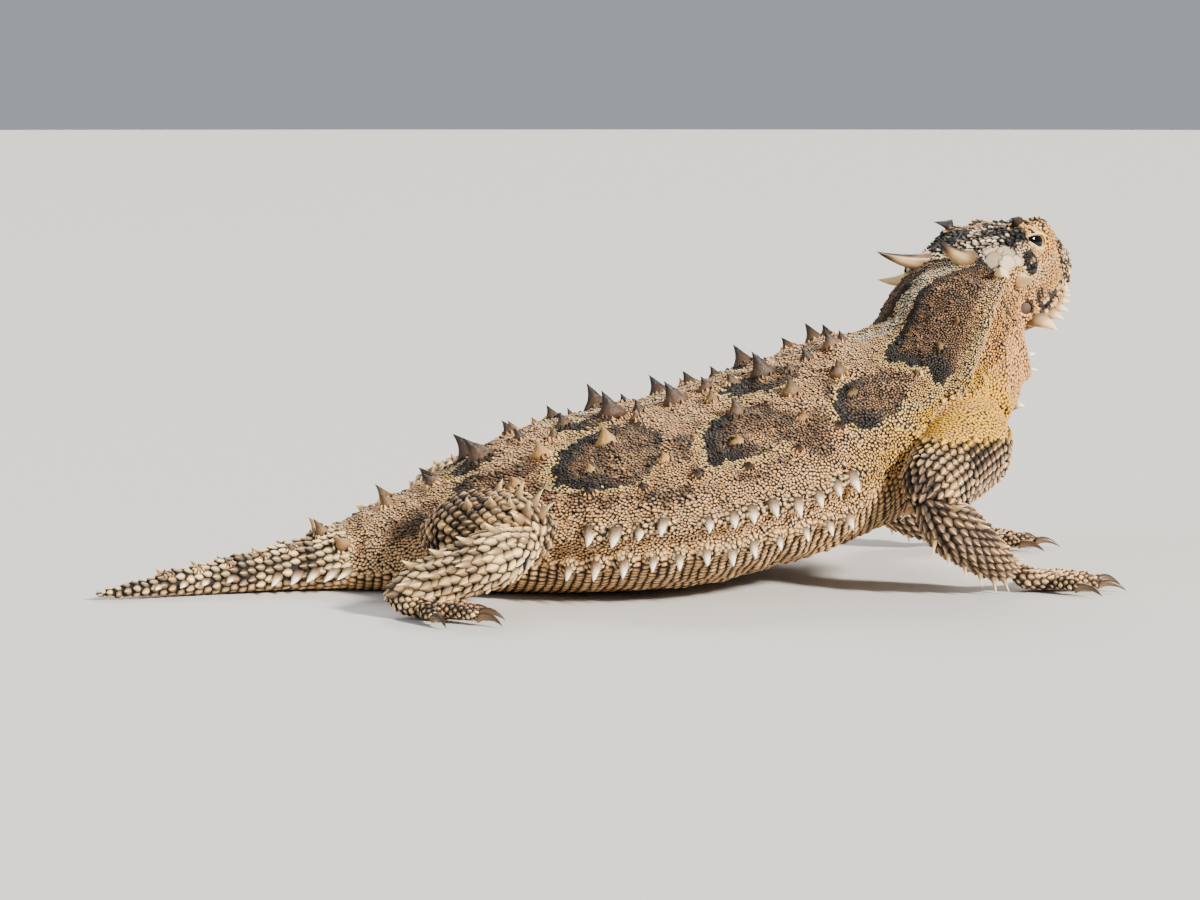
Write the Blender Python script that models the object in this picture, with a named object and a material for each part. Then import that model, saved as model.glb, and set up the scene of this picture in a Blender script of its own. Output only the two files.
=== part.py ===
"""Texas horned lizard at life size, lying on its belly with the fore body raised and the head turned left.

Sizes are in millimetres until the last step, which scales each mesh to metres. The design frame has X along
the body towards the head, Y to the animal's left, Z up and the floor at zero; an empty then shifts everything
so that the middle of the model's base is the origin.
"""

import math

import bmesh
import bpy
import numpy as np
from mathutils import Matrix

MM = 0.001
GAP = 0.3
SEED = 7

# Axis of the tail, trunk and neck, from the tail's tip to the back of the head. Each row is one cross section:
# centre x, y, z; pitch and yaw of the section in degrees; half width; height above and depth below the centre;
# roundness of the upper and the lower half (2 is an ellipse, less is a tent, more is a box).
AXIS = (
    (-0.6, -6.2, 0.9, 0, 16, 0.5, 0.5, 0.9, 2.0, 2.0),
    (4.0, -5.0, 1.3, 0, 14, 1.5, 1.0, 1.4, 2.0, 2.4),
    (10.0, -3.6, 1.7, 0, 12, 2.2, 1.7, 1.8, 1.9, 2.6),
    (16.0, -2.3, 2.1, 0, 10, 2.9, 2.4, 2.3, 1.9, 2.6),
    (22.0, -1.1, 2.6, 0, 8, 3.9, 3.2, 2.8, 1.8, 2.6),
    (27.0, -0.4, 3.1, 0, 4, 5.3, 4.3, 3.4, 1.8, 2.6),
    (31.0, 0.0, 3.8, 0, 0, 7.4, 5.3, 4.1, 1.8, 2.6),
    (36.0, 0.0, 4.7, 0, 0, 10.2, 6.4, 5.1, 1.8, 2.6),
    (42.0, 0.0, 5.6, 0, 0, 13.8, 8.8, 6.1, 1.8, 2.6),
    (48.0, 0.0, 6.6, 0, 0, 17.6, 11.0, 7.1, 1.75, 2.5),
    (54.0, 0.0, 7.6, 0, 0, 21.4, 12.1, 8.1, 1.7, 2.5),
    (60.0, 0.0, 8.4, 0, 0, 24.2, 12.6, 8.8, 1.7, 2.4),
    (66.0, 0.0, 9.2, 0, 0, 25.8, 12.9, 9.4, 1.7, 2.3),
    (72.0, 0.0, 10.0, 0, 0, 26.0, 13.9, 9.4, 1.7, 2.3),
    (78.0, 0.0, 11.0, 0, 0, 24.8, 14.9, 9.3, 1.7, 2.2),
    (84.0, 0.0, 12.4, 2, 0, 22.2, 15.2, 9.4, 1.75, 2.2),
    (90.0, 0.0, 14.8, 10, 0, 18.4, 14.6, 9.6, 1.8, 2.2),
    (95.5, 0.0, 18.4, 25, 0, 14.8, 12.5, 10.6, 1.9, 2.2),
    (101.0, 0.2, 24.2, 42, 4, 12.4, 9.2, 12.0, 2.0, 2.2),
    (105.0, 0.8, 30.0, 48, 12, 10.0, 9.0, 10.3, 2.1, 2.3),
    (106.8, 3.0, 34.4, 34, 26, 8.0, 5.4, 11.6, 2.1, 2.4),
    (109.4, 5.8, 36.4, 18, 35, 6.2, 2.4, 7.6, 2.1, 2.4),
)
TAIL_SPLIT = 3.2
TAIL_ROOT = 6.0
WAIST = 12.0
SHOULDER_SPLIT = 17.0
NECK_END = 20.9
SPLIT_HALF = 0.026
TRUNK_SIDES = 32
TAIL_SIDES = 20

# The head's own frame: x forward, y left, z up, set in the body by its origin at the back of the skull.
HEAD_ORIGIN = (104.94, 3.0, 34.94)
HEAD_YAW = 35.9
HEAD_PITCH = 14.7
HEAD_ROLL = -3.9
# Cross sections of the head: x, half width, height of the widest line, top, bottom, upper and lower roundness.
SKULL = (
    (-1.6, 2.4, -1.0, 1.2, -4.0, 2.0, 2.0),
    (-1.1, 5.6, -0.7, 3.3, -6.2, 2.2, 2.1),
    (1.0, 7.7, 0.1, 4.5, -7.6, 2.7, 2.4),
    (4.0, 8.3, -0.2, 5.0, -8.3, 3.0, 2.7),
    (7.5, 8.1, -0.6, 5.5, -8.4, 3.3, 2.9),
    (11.0, 7.4, -0.8, 5.4, -8.2, 3.4, 2.9),
    (14.5, 6.3, -1.2, 4.7, -7.7, 3.2, 2.7),
    (17.5, 5.0, -2.0, 2.6, -7.2, 2.8, 2.5),
    (19.7, 3.8, -2.7, 0.2, -6.6, 2.5, 2.3),
    (20.9, 2.6, -3.2, -1.6, -5.8, 2.2, 2.1),
    (21.3, 1.1, -3.5, -2.6, -4.6, 2.0, 2.0),
)
SKULL_RINGS = 25
SKULL_SIDES = 34
# Swellings and hollows of the head: centre of the left one, spread along x, y and z, and outward rise.
SKULL_BUMPS = (
    ((9.5, 5.3, 5.4), (2.8, 1.6, 2.2), 1.5),
    ((14.2, 4.9, 4.3), (2.2, 1.4, 2.0), 1.1),
    ((2.6, 8.6, 0.9), (2.4, 2.4, 1.2), 0.8),
    ((3.4, 8.0, -3.6), (1.9, 2.4, 1.6), -0.6),
    ((9.0, 7.6, -6.2), (4.8, 3.0, 1.5), 1.1),
    ((10.7, 7.4, 2.6), (1.6, 1.8, 1.3), -0.7),
    ((10.0, 0.0, 5.8), (4.5, 2.4, 2.0), -0.5),
)

EYE_CENTRE = (10.2, 5.1, 2.8)
EYE_RADIUS = 1.9
LID_HALF_LENGTH = 1.75
LID_HALF_HEIGHT = 1.25
LID_THICKNESS = 0.42
EAR_CENTRE = (3.4, 7.7, -3.8)
EAR_RADII = (0.9, 0.8, 1.05)
NOSTRIL_CENTRE = (18.9, 2.2, 1.0)
NOSTRIL_RADIUS = 0.42
MOUTH_CORNER_X = 7.0
MOUTH_Z_FRONT = -4.0
MOUTH_Z_REAR = -5.0
MOUTH_WIDTH = 0.3

# Horns: base, tip and base radius in the head's frame, for the left side.
HORNS = {
    "horn_occipital": ((0.6, 3.3, 3.4), (-6.5, 5.0, 7.4), 1.3),
    "horn_temporal_rear": ((1.6, 7.0, 1.0), (-1.9, 9.8, 2.5), 1.15),
    "horn_temporal_front": ((3.6, 7.6, -0.1), (2.4, 11.2, -0.2), 1.1),
}
HORN_BOW = 0.05
# The left horns' tips stand this much lower than drawn, and the right ones' this much higher.
HORN_SKEW = 0.5
# Short spines fused to the head, for the left side: base, tip and base radius.
HEAD_SPINES = (
    ((8.8, 5.2, 5.6), (6.8, 6.3, 7.1), 0.85),
    ((3.0, 5.6, 2.6), (1.0, 7.9, 3.7), 1.3),
    ((6.4, 7.4, 0.9), (5.9, 9.0, 0.8), 0.85),
    ((6.2, 6.7, -5.8), (6.2, 11.1, -7.6), 1.2),
    ((8.9, 6.7, -5.9), (9.6, 9.7, -7.3), 1.0),
    ((11.1, 6.1, -5.8), (12.2, 8.6, -6.9), 0.9),
    ((13.1, 5.3, -5.7), (14.4, 7.5, -6.3), 0.8),
    ((15.0, 4.5, -5.5), (16.2, 6.4, -6.0), 0.7),
    ((16.7, 3.6, -5.4), (17.9, 5.2, -5.8), 0.6),
    ((18.2, 2.4, -5.3), (19.5, 3.9, -5.6), 0.55),
)

# Tall pairs of spines on each side of the ridge of the back: section number and height.
TALL_SPINES = (
    (4.8, 2.3), (5.85, 2.4), (6.7, 2.2), (7.6, 1.7), (8.5, 3.0), (9.3, 1.7), (10.2, 1.7), (11.15, 3.1),
    (11.7, 1.5), (12.45, 2.9), (13.1, 1.7), (13.6, 1.4), (14.2, 2.8), (15.3, 1.7), (16.1, 2.3), (16.7, 1.6),
)
TALL_SPINE_ANGLE = 75
TALL_SPINE_LEAN = (0.25, 0.0, 0.0)
# Spines in rows along the body, on both sides: first and last section number, angle up from the widest line in
# degrees (negative is below it), spacing in section numbers, height, base radius, and how far the tips lean
# back, out from the body and down.
SPINE_ROWS = (
    (7.1, 16.0, 55, 1.25, 2.2, 1.0, 0.35, 0.0, -0.45),
    (9.0, 16.0, 42, 1.40, 1.3, 0.8, 0.3, 0.1, -0.3),
    (10.3, 15.6, 30, 1.00, 1.0, 0.75, 0.2, 0.1, 0.0),
    (9.9, 15.8, 68, 1.60, 1.2, 0.7, 0.3, 0.0, -0.3),
    (9.8, 15.8, 7, 0.43, 2.5, 0.85, 0.1, 0.25, 1.1),
    (9.8, 15.5, -14, 0.50, 2.1, 0.7, 0.1, 0.2, 1.1),
    (1.4, 3.3, 4, 0.45, 1.3, 0.55, 0.6, 0.3, 0.4),
    (3.65, 6.8, -3, 0.44, 2.3, 0.7, 0.6, 0.3, 0.5),
    (1.6, 4.0, 60, 0.60, 0.9, 0.5, 0.8, 0.0, 0.0),
    (5.3, 8.4, 36, 0.90, 2.1, 1.0, 0.6, 0.1, -0.3),
    (17.6, 19.4, 30, 0.60, 0.9, 0.6, 0.5, 0.0, 0.1),
)
SPINE_SIDES = 5
SPINE_SINK = 0.7
# Short spines on the throat: section number, angle, height and base radius.
THROAT_SPINES = (
    (20.0, -52, 1.5, 0.7),
    (20.0, -66, 1.4, 0.65),
    (19.4, -58, 1.2, 0.6),
    (18.6, -72, 1.2, 0.6),
)

# Limbs of the right side: centre x, y, z, then half thickness across and upright, from the root outwards.
THIGH = (
    (39.0, -7.0, 6.6, 4.8, 4.6),
    (42.0, -13.0, 7.6, 5.4, 5.2),
    (45.4, -18.6, 8.8, 5.0, 4.8),
    (47.8, -23.0, 9.4, 4.2, 4.0),
    (48.6, -25.0, 9.4, 2.8, 2.6),
)
SHANK = (
    (48.6, -24.4, 8.8, 3.4, 3.2),
    (44.6, -25.6, 7.2, 3.9, 3.5),
    (39.4, -25.4, 5.2, 3.3, 3.1),
    (34.4, -24.2, 3.6, 2.5, 2.4),
    (31.8, -23.2, 2.8, 1.9, 1.9),
)
UPPER_ARM = (
    (106.0, -6.0, 19.4, 6.1, 6.9),
    (103.2, -11.6, 17.4, 5.7, 6.3),
    (99.2, -16.6, 14.8, 4.7, 5.0),
    (95.8, -20.2, 12.6, 3.9, 4.1),
    (94.2, -21.8, 11.6, 2.8, 2.8),
)
FOREARM = (
    (94.8, -21.6, 11.4, 3.2, 3.2),
    (97.8, -21.2, 8.8, 3.6, 3.5),
    (101.6, -20.2, 5.8, 3.1, 3.0),
    (104.8, -19.2, 3.6, 2.5, 2.3),
    (106.6, -18.4, 2.7, 1.9, 1.8),
)
LIMB_SIDES = 12
LIMB_RINGS = 9
# How the left limbs differ from the mirrored right ones: shift of the free end along x, y and z.
LEFT_FREE_END = {
    "thigh": (2.0, 0.6, -0.2),
    "shank": (-1.5, 1.2, 0.0),
    "arm": (3.0, -0.6, -2.0),
    "forearm": (3.0, 1.4, 0.0),
}

# Feet: palm length, width and thickness, and for each toe its angle from the foot's heading in degrees
# (positive turns inwards), its start across the palm and its length without the claw.
HAND = {
    "palm": (5.0, 2.5, 1.25),
    "heading": 8.0,
    "toes": ((58, 1.7, 3.4), (27, 1.2, 6.0), (4, 0.3, 7.8), (-20, -0.8, 6.6), (-55, -1.6, 4.2)),
    "claw": 2.9,
}
FOOT = {
    "palm": (5.6, 2.2, 1.3),
    "heading": -34.0,
    "toes": ((44, 1.6, 3.0), (24, 1.2, 4.8), (8, 0.5, 6.6), (-8, -0.5, 8.0), (-38, -1.5, 4.2)),
    "claw": 2.6,
}
TOE_RADIUS = 0.95
CLAW_RADIUS = 0.62
TOE_SIDES = 6
# Rows of keeled, pointed scales on the limbs: first and last place along the limb (0 to 1), count, angle round
# the limb in degrees from its outer side towards its upper side, height and base radius.
LIMB_SPINES = {
    "thigh": ((0.45, 0.92, 4, 60, 1.3, 0.9), (0.5, 0.95, 4, 105, 1.2, 0.9)),
    "shank": ((0.15, 0.75, 5, 20, 1.1, 0.85), (0.1, 0.7, 5, 70, 1.1, 0.85)),
    "upper_arm": ((0.5, 0.9, 4, 200, 1.0, 0.8),),
    "forearm": ((0.2, 0.85, 6, -60, 1.2, 0.6), (0.15, 0.8, 4, 40, 0.8, 0.7)),
}

SKIN_TAN = (0.36, 0.26, 0.17, 1.0)
SKIN_NECK = (0.42, 0.29, 0.15, 1.0)
SKIN_HEAD = (0.46, 0.33, 0.20, 1.0)
SKIN_LIMB = (0.43, 0.31, 0.19, 1.0)
HORN_TAN = (0.44, 0.30, 0.18, 1.0)
EYE_DARK = (0.02, 0.015, 0.012, 1.0)


def follow(table, places):
    """Smooth curve through the rows of a table, read at row numbers: a Catmull-Rom cubic between rows."""
    rows = np.asarray(table, float)
    places = np.clip(np.atleast_1d(places).astype(float), 0, len(rows) - 1)
    first = np.minimum(places.astype(int), len(rows) - 2)
    t = (places - first)[:, None]
    before = rows[np.maximum(first - 1, 0)]
    start = rows[first]
    end = rows[first + 1]
    after = rows[np.minimum(first + 2, len(rows) - 1)]
    line = (end - before) * t
    square = (2 * before - 5 * start + 4 * end - after) * t**2
    cube = (3 * start - before - 3 * end + after) * t**3
    return 0.5 * (2 * start + line + square + cube)


def rounded(angle, across, above, below, top, bottom):
    """Point of a cross section: a superellipse whose upper and lower halves differ in height and roundness."""
    side, rise = np.cos(angle), np.sin(angle)
    power = 2 / np.where(rise >= 0, top, bottom)
    height = np.where(rise >= 0, above, below)
    return across * np.sign(side) * np.abs(side) ** power, height * np.sign(rise) * np.abs(rise) ** power


def body_points(places, angles, swell=0.0):
    """Grid of points on the tail, trunk and neck; angle 0 is the left side, 90 degrees the back."""
    x, y, z, pitch, yaw, wide, above, below, top, bottom = follow(AXIS, places).T[:, :, None]
    pitch, yaw = np.radians(pitch), np.radians(yaw)
    side, rise = rounded(np.asarray(angles)[None, :], wide + swell, above + swell, below + swell, top, bottom)
    px = x - side * np.sin(yaw) - rise * np.sin(pitch) * np.cos(yaw)
    py = y + side * np.cos(yaw) - rise * np.sin(pitch) * np.sin(yaw)
    pz = z + rise * np.cos(pitch)
    return np.stack([px, py, np.maximum(pz, -swell)], axis=-1)


def body_spot(place, angle):
    """Point on the body, its outward normal, and the direction back along the body there."""
    step = 0.02
    grid = body_points([place - step, place + step], [angle - step, angle, angle + step])
    along = grid[1, 1] - grid[0, 1]
    around = (grid[0, 2] + grid[1, 2]) - (grid[0, 0] + grid[1, 0])
    outward = np.cross(around, along)
    outward /= np.linalg.norm(outward)
    return grid[:, 1].mean(axis=0), outward, -along / np.linalg.norm(along)


def head_axes():
    """The head's forward, left and up directions in the body's frame."""
    yaw, pitch, roll = np.radians([HEAD_YAW, HEAD_PITCH, HEAD_ROLL])
    forward = np.array([np.cos(pitch) * np.cos(yaw), np.cos(pitch) * np.sin(yaw), np.sin(pitch)])
    level = np.array([-np.sin(yaw), np.cos(yaw), 0.0])
    upright = np.cross(forward, level)
    left = np.cos(roll) * level + np.sin(roll) * upright
    return np.array([forward, left, np.cos(roll) * upright - np.sin(roll) * level])


def from_head(points):
    """Carry points from the head's frame to the body's."""
    return np.asarray(HEAD_ORIGIN) + np.asarray(points, float) @ head_axes()


def skull_points(places, angles, swell=0.0):
    """Grid of points on the head in its own frame: sections carried along x, then the bumps pushed outwards."""
    x, wide, middle, top, bottom, upper, lower = follow(SKULL, places).T[:, :, None]
    side, rise = rounded(np.asarray(angles)[None, :], wide + swell, top - middle + swell,
                         middle - bottom + swell, upper, lower)
    points = np.stack([x + 0 * side, side, middle + rise], axis=-1)
    out = np.stack([0 * side, side / (wide + swell), rise / (top - bottom + swell)], axis=-1)
    out /= np.maximum(np.linalg.norm(out, axis=-1, keepdims=True), 1e-6)
    for centre, spread, height in SKULL_BUMPS:
        for mirror in (1, -1) if centre[1] else (1,):
            away = (points - np.array(centre) * (1, mirror, 1)) / spread
            points = points + height * np.exp(-(away**2).sum(axis=-1))[..., None] * out
    return points


def skull_side(x, z):
    """Half width of the head at a place x along it and a height z, from the section there."""
    rows = np.asarray(SKULL)
    wide, middle, top, bottom, upper, lower = (np.interp(x, rows[:, 0], rows[:, k]) for k in range(1, 7))
    reach = top - middle if z >= middle else middle - bottom
    power = upper if z >= middle else lower
    return wide * max(0.0, 1 - (abs(z - middle) / reach) ** power) ** (1 / power)


def new_solid(name, points, faces):
    """Object from points and faces, with every face turned to point out."""
    mesh = bpy.data.meshes.new(name)
    mesh.from_pydata(np.asarray(points).tolist(), [], faces)
    turn_outwards(mesh)
    thing = bpy.data.objects.new(name, mesh)
    bpy.context.scene.collection.objects.link(thing)
    return thing


def grid_mesh(name, rings, loop=False):
    """Closed tube from a stack of rings of points, each end shut by a fan, or joined end to end as a loop."""
    count, sides = rings.shape[:2]
    points = np.concatenate([rings.reshape(-1, 3), rings[:1].mean(axis=1), rings[-1:].mean(axis=1)])
    number = np.arange(count * sides).reshape(count, sides)
    if loop:
        number = np.concatenate([number, number[:1]])
        points = points[:-2]
    turned = np.roll(number, -1, axis=1)
    faces = np.stack([number[:-1], number[1:], turned[1:], turned[:-1]], axis=-1).reshape(-1, 4).tolist()
    if not loop:
        faces += np.stack([number[0], turned[0], np.full(sides, count * sides)], axis=-1).tolist()
        faces += np.stack([turned[-1], number[-1], np.full(sides, count * sides + 1)], axis=-1).tolist()
    return new_solid(name, points, faces)


def turn_outwards(mesh):
    """Turn every face of a closed mesh to point out."""
    shape = bmesh.new()
    shape.from_mesh(mesh)
    bmesh.ops.recalc_face_normals(shape, faces=shape.faces)
    if shape.calc_volume(signed=True) < 0:
        bmesh.ops.reverse_faces(shape, faces=shape.faces)
    shape.to_mesh(mesh)
    shape.free()


def tube(name, table, rings, sides, swell=0.0, floor=True, mirror=1):
    """Round limb through a table of centres and half thicknesses, with rounded ends."""
    places = np.linspace(0, len(table) - 1, rings)
    rows = follow(table, places)
    centre = rows[:, :3] * (1, mirror, 1)
    ahead = np.gradient(centre, axis=0)
    ahead /= np.linalg.norm(ahead, axis=1, keepdims=True)
    across = np.cross(ahead, (0.0, 0.0, 1.0))
    across /= np.linalg.norm(across, axis=1, keepdims=True)
    upright = np.cross(across, ahead)
    end = 3.0 * np.minimum(np.linspace(0, 1, rings), np.linspace(1, 0, rings))
    fade = np.sqrt(np.clip(0.12 + end, 0, 1))[:, None]
    wide, tall = rows[:, 3:4] * fade + swell, rows[:, 4:5] * fade + swell
    angle = np.linspace(0, 2 * np.pi, sides, endpoint=False)[None, :]
    shape = (centre[:, None] + (wide * np.cos(angle))[..., None] * across[:, None]
             + (tall * np.sin(angle))[..., None] * upright[:, None])
    if floor:
        shape[..., 2] = np.maximum(shape[..., 2], -swell)
    return grid_mesh(name, shape)


def spine(name, root, tip, radius, sides=SPINE_SIDES, bow=(0.0, 0.0, 0.0), rings=1):
    """Pointed spine from root to tip: a cone in one or more lengths, whose middle is moved by bow to curve it."""
    root, tip = np.asarray(root, float), np.asarray(tip, float)
    along = tip - root
    guide = (0.0, 0.0, 1.0) if abs(along[2]) < 0.9 * np.linalg.norm(along) else (0.0, 1.0, 0.0)
    across = np.cross(along, guide)
    across /= np.linalg.norm(across)
    upright = np.cross(across, along) / np.linalg.norm(along)
    angle = np.linspace(0, 2 * np.pi, sides, endpoint=False)[None, :, None]
    t = (np.arange(rings) / rings)[:, None]
    centre = root + t * along + (4 * t * (1 - t)) * np.asarray(bow, float)
    size = (radius * (1 - t) ** 0.8)[..., None]
    circles = centre[:, None] + size * (np.cos(angle) * across + np.sin(angle) * upright)
    number = np.arange(rings * sides).reshape(rings, sides)
    turned = np.roll(number, -1, axis=1)
    faces = np.stack([number[:-1], number[1:], turned[1:], turned[:-1]], axis=-1).reshape(-1, 4).tolist()
    faces += np.stack([number[-1], turned[-1], np.full(sides, rings * sides)], axis=-1).tolist()
    faces.append(number[0].tolist())
    return new_solid(name, np.concatenate([circles.reshape(-1, 3), [tip]]), faces)


def ball(name, centre, radii, sides=14):
    """Ellipsoid with its poles up and down."""
    shape = bmesh.new()
    bmesh.ops.create_uvsphere(shape, u_segments=sides, v_segments=sides // 2 + 1, radius=1.0)
    bmesh.ops.scale(shape, vec=radii, verts=shape.verts)
    bmesh.ops.translate(shape, vec=centre, verts=shape.verts)
    mesh = bpy.data.meshes.new(name)
    shape.to_mesh(mesh)
    shape.free()
    thing = bpy.data.objects.new(name, mesh)
    bpy.context.scene.collection.objects.link(thing)
    return thing


def take_away(thing):
    """Remove an object and its mesh."""
    mesh = thing.data
    bpy.data.objects.remove(thing)
    bpy.data.meshes.remove(mesh)


def combine(base, pieces, operation):
    """Join pieces to the base, or cut them from it, in one Boolean; keep the largest closed surface."""
    if not pieces:
        return base
    group = bpy.data.collections.new(base.name + "_pieces")
    bpy.context.scene.collection.children.link(group)
    for piece in pieces:
        group.objects.link(piece)
    change = base.modifiers.new("change", "BOOLEAN")
    change.operation = operation
    change.operand_type = "COLLECTION"
    change.collection = group
    change.solver = "EXACT"
    bpy.context.view_layer.update()
    result = bpy.data.meshes.new_from_object(base.evaluated_get(bpy.context.evaluated_depsgraph_get()))
    base.modifiers.remove(change)
    old = base.data
    base.data = result
    bpy.data.meshes.remove(old)
    for piece in pieces:
        take_away(piece)
    bpy.data.collections.remove(group)
    keep_largest(base)
    return base


def keep_largest(thing):
    """Keep the closed surface with the most volume, in triangles with no needless slivers."""
    shape = bmesh.new()
    shape.from_mesh(thing.data)
    bmesh.ops.remove_doubles(shape, verts=shape.verts, dist=0.0001)
    bmesh.ops.triangulate(shape, faces=shape.faces)
    waiting, groups = set(shape.faces), []
    while waiting:
        group, edge = set(), [next(iter(waiting))]
        while edge:
            face = edge.pop()
            if face in group:
                continue
            group.add(face)
            edge += [other for line in face.edges for other in line.link_faces if other not in group]
        waiting -= group
        groups.append(group)
    sizes = [abs(sum(f.verts[0].co.dot(f.verts[1].co.cross(f.verts[2].co)) for f in group)) for group in groups]
    largest = groups[int(np.argmax(sizes))]
    bmesh.ops.delete(shape, geom=[f for f in shape.faces if f not in largest], context="FACES")
    shape.to_mesh(thing.data)
    shape.free()


def body_length(name, start, stop, swell=0.0):
    """One closed length of the tail, trunk or neck, between two section numbers."""
    rings = max(3, int(round((stop - start) * 2)) + 1)
    sides = TRUNK_SIDES if stop > TAIL_ROOT else TAIL_SIDES
    angles = np.linspace(0, 2 * np.pi, sides, endpoint=False)
    return grid_mesh(name, body_points(np.linspace(start, stop, rings), angles, swell))


def near_limb(point, reach):
    """Whether a point lies within reach of a limb's surface, on either side."""
    for table in (THIGH, SHANK, UPPER_ARM, FOREARM):
        rows = follow(table, np.linspace(0, len(table) - 1, 30))
        for mirror in (1, -1):
            away = np.linalg.norm(rows[:, :3] * (1, mirror, 1) - point, axis=1) - rows[:, 3:5].max(axis=1)
            if away.min() < reach:
                return True
    return False


def body_spine(place, up, mirror, height, radius, lean, draw):
    """One spine on the body, or None where a limb is in its way; lean is back, out and down."""
    turn, growth = draw.uniform(-1, 1, 2)
    size = 1 + 0.15 * growth
    angle = math.radians(up + 1.5 * turn)
    spot, outward, rearward = body_spot(place, angle if mirror > 0 else math.pi - angle)
    if near_limb(spot, 1.2 * height):
        return None
    back, out, down = lean
    way = outward + back * rearward + np.array([0.0, out * mirror, -down])
    tip = spot + way * height * size / np.linalg.norm(way)
    tip[2] = max(tip[2], 0.2)
    lengths = 2 if height > 2.1 else 1
    return spine("spine", spot - outward * SPINE_SINK, tip, radius * size, bow=0.1 * height * rearward, rings=lengths)


def row_spines(start, stop, draw):
    """Spines of the tall pairs and of every row between two section numbers, on both sides of the body."""
    wanted = [(place, TALL_SPINE_ANGLE, height, 0.35 + 0.28 * height, TALL_SPINE_LEAN)
              for place, height in TALL_SPINES]
    for first, last, up, spacing, height, radius, *lean in SPINE_ROWS:
        for number in range(int((last - first) / spacing) + 1):
            wanted.append((first + number * spacing, up, height, radius, lean))
    pieces = []
    for place, up, height, radius, lean in wanted:
        for mirror in (1, -1):
            moved = place + 0.05 * draw.uniform(-1, 1)
            if start + 0.12 < moved < stop - 0.12:
                pieces.append(body_spine(moved, up, mirror, height, radius, lean, draw))
    return [piece for piece in pieces if piece]


def body_part(name, start, stop, draw):
    """A length of the body with its rows of spines fused to it."""
    return combine(body_length(name, start, stop), row_spines(start, stop, draw), "UNION")


def make_neck(draw):
    """The neck: its length of the body, the throat's spines, and a seat cut for the head."""
    neck = body_length("neck", SHOULDER_SPLIT + SPLIT_HALF, NECK_END)
    pieces = row_spines(SHOULDER_SPLIT, NECK_END - 1.2, draw)
    for place, up, height, radius in THROAT_SPINES:
        for angle in (math.radians(up), math.pi - math.radians(up)):
            spot, outward, rearward = body_spot(place, angle)
            tip = spot + height * (outward - 0.3 * rearward)
            pieces.append(spine("spine", spot - SPINE_SINK * outward, tip, radius))
    combine(neck, pieces, "UNION")
    seats = [plain_head("seat", GAP)] + head_spines(GAP)
    seats += [whole_horn("seat", kind, mirror, GAP) for kind in HORNS for mirror in (1, -1)]
    return combine(neck, seats, "DIFFERENCE")


def plain_head(name, swell=0.0):
    """The head's surface with its swellings, before spines, lids and openings."""
    places = np.linspace(0, len(SKULL) - 1, SKULL_RINGS)
    angles = np.linspace(0, 2 * np.pi, SKULL_SIDES, endpoint=False)
    shape = skull_points(places, angles, swell)
    if swell:
        shape[:3, :, 0] -= swell
        shape[-3:, :, 0] += swell
    return grid_mesh(name, from_head(shape))


def lid_ring(mirror):
    """The eyelids' rim: a thin tube round the slit of the eye, pressed against the eyeball."""
    angle = np.linspace(0, 2 * np.pi, 14, endpoint=False)[:, None]
    turn = np.linspace(0, 2 * np.pi, 5, endpoint=False)[None, :]
    swing = 1 + LID_THICKNESS * np.cos(turn) / LID_HALF_HEIGHT
    along = LID_HALF_LENGTH * np.cos(angle) * swing
    rise = LID_HALF_HEIGHT * np.sin(angle) * swing
    depth = np.sqrt(EYE_RADIUS**2 - 0.55 * (LID_HALF_LENGTH * np.cos(angle)) ** 2) + LID_THICKNESS * np.sin(turn)
    points = np.array(EYE_CENTRE) * (1, mirror, 1) + np.stack([along, mirror * depth, rise + 0.1], axis=-1)
    return grid_mesh("lid", from_head(points), loop=True)


def mouth_cutter():
    """Thin wedge swept round the snout from one corner of the mouth to the other, along the lips."""
    front = 21.2
    t = np.sin(np.linspace(-1, 1, 23) * np.pi / 2)
    x = MOUTH_CORNER_X + (front - MOUTH_CORNER_X) * np.sqrt(1 - t**2) ** 0.9
    level = MOUTH_Z_FRONT + (MOUTH_Z_REAR - MOUTH_Z_FRONT) * (1 - (x - MOUTH_CORNER_X) / (front - MOUTH_CORNER_X))
    wide = np.array([skull_side(a, b) for a, b in zip(x, level)])
    line = np.stack([x, np.sign(t) * wide, level], axis=-1)
    inner = line - np.stack([0.5 * np.sqrt(1 - t**2), 0.45 * np.sign(t), 0 * t], axis=-1)
    outer = line + np.stack([1.2 * np.sqrt(1 - t**2), 1.4 * t, 0 * t], axis=-1)
    lift = np.array([0.0, 0.0, MOUTH_WIDTH])
    rings = np.stack([inner - 0.3 * lift, outer - lift, outer + lift, inner + 0.3 * lift], axis=1)
    return grid_mesh("mouth", from_head(rings))


def head_spines(swell=0.0):
    """The short spines and scutes of both sides of the head, thicker and longer by swell."""
    pieces = []
    for mirror in (1, -1):
        for root, tip, radius in HEAD_SPINES:
            root_at, tip_at = from_head(root * np.array([1, mirror, 1])), from_head(tip * np.array([1, mirror, 1]))
            tip_at = tip_at + 2 * swell * (tip_at - root_at) / np.linalg.norm(tip_at - root_at)
            pieces.append(spine("spine", root_at, tip_at, radius + swell, sides=6))
    return pieces


def make_head():
    """The head with its short spines and lids fused on, and the mouth, sockets, ears and nostrils cut."""
    head = plain_head("head")
    combine(head, head_spines() + [lid_ring(1), lid_ring(-1)], "UNION")
    cutters = [mouth_cutter()]
    for mirror in (1, -1):
        side = np.array([1, mirror, 1])
        cutters.append(ball("socket", from_head(EYE_CENTRE * side), (EYE_RADIUS + GAP,) * 3, sides=12))
        cutters.append(ball("ear", from_head(EAR_CENTRE * side), EAR_RADII, sides=8))
        cutters.append(ball("nostril", from_head(NOSTRIL_CENTRE * side), (NOSTRIL_RADIUS,) * 3, sides=6))
    return combine(head, cutters, "DIFFERENCE")


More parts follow.
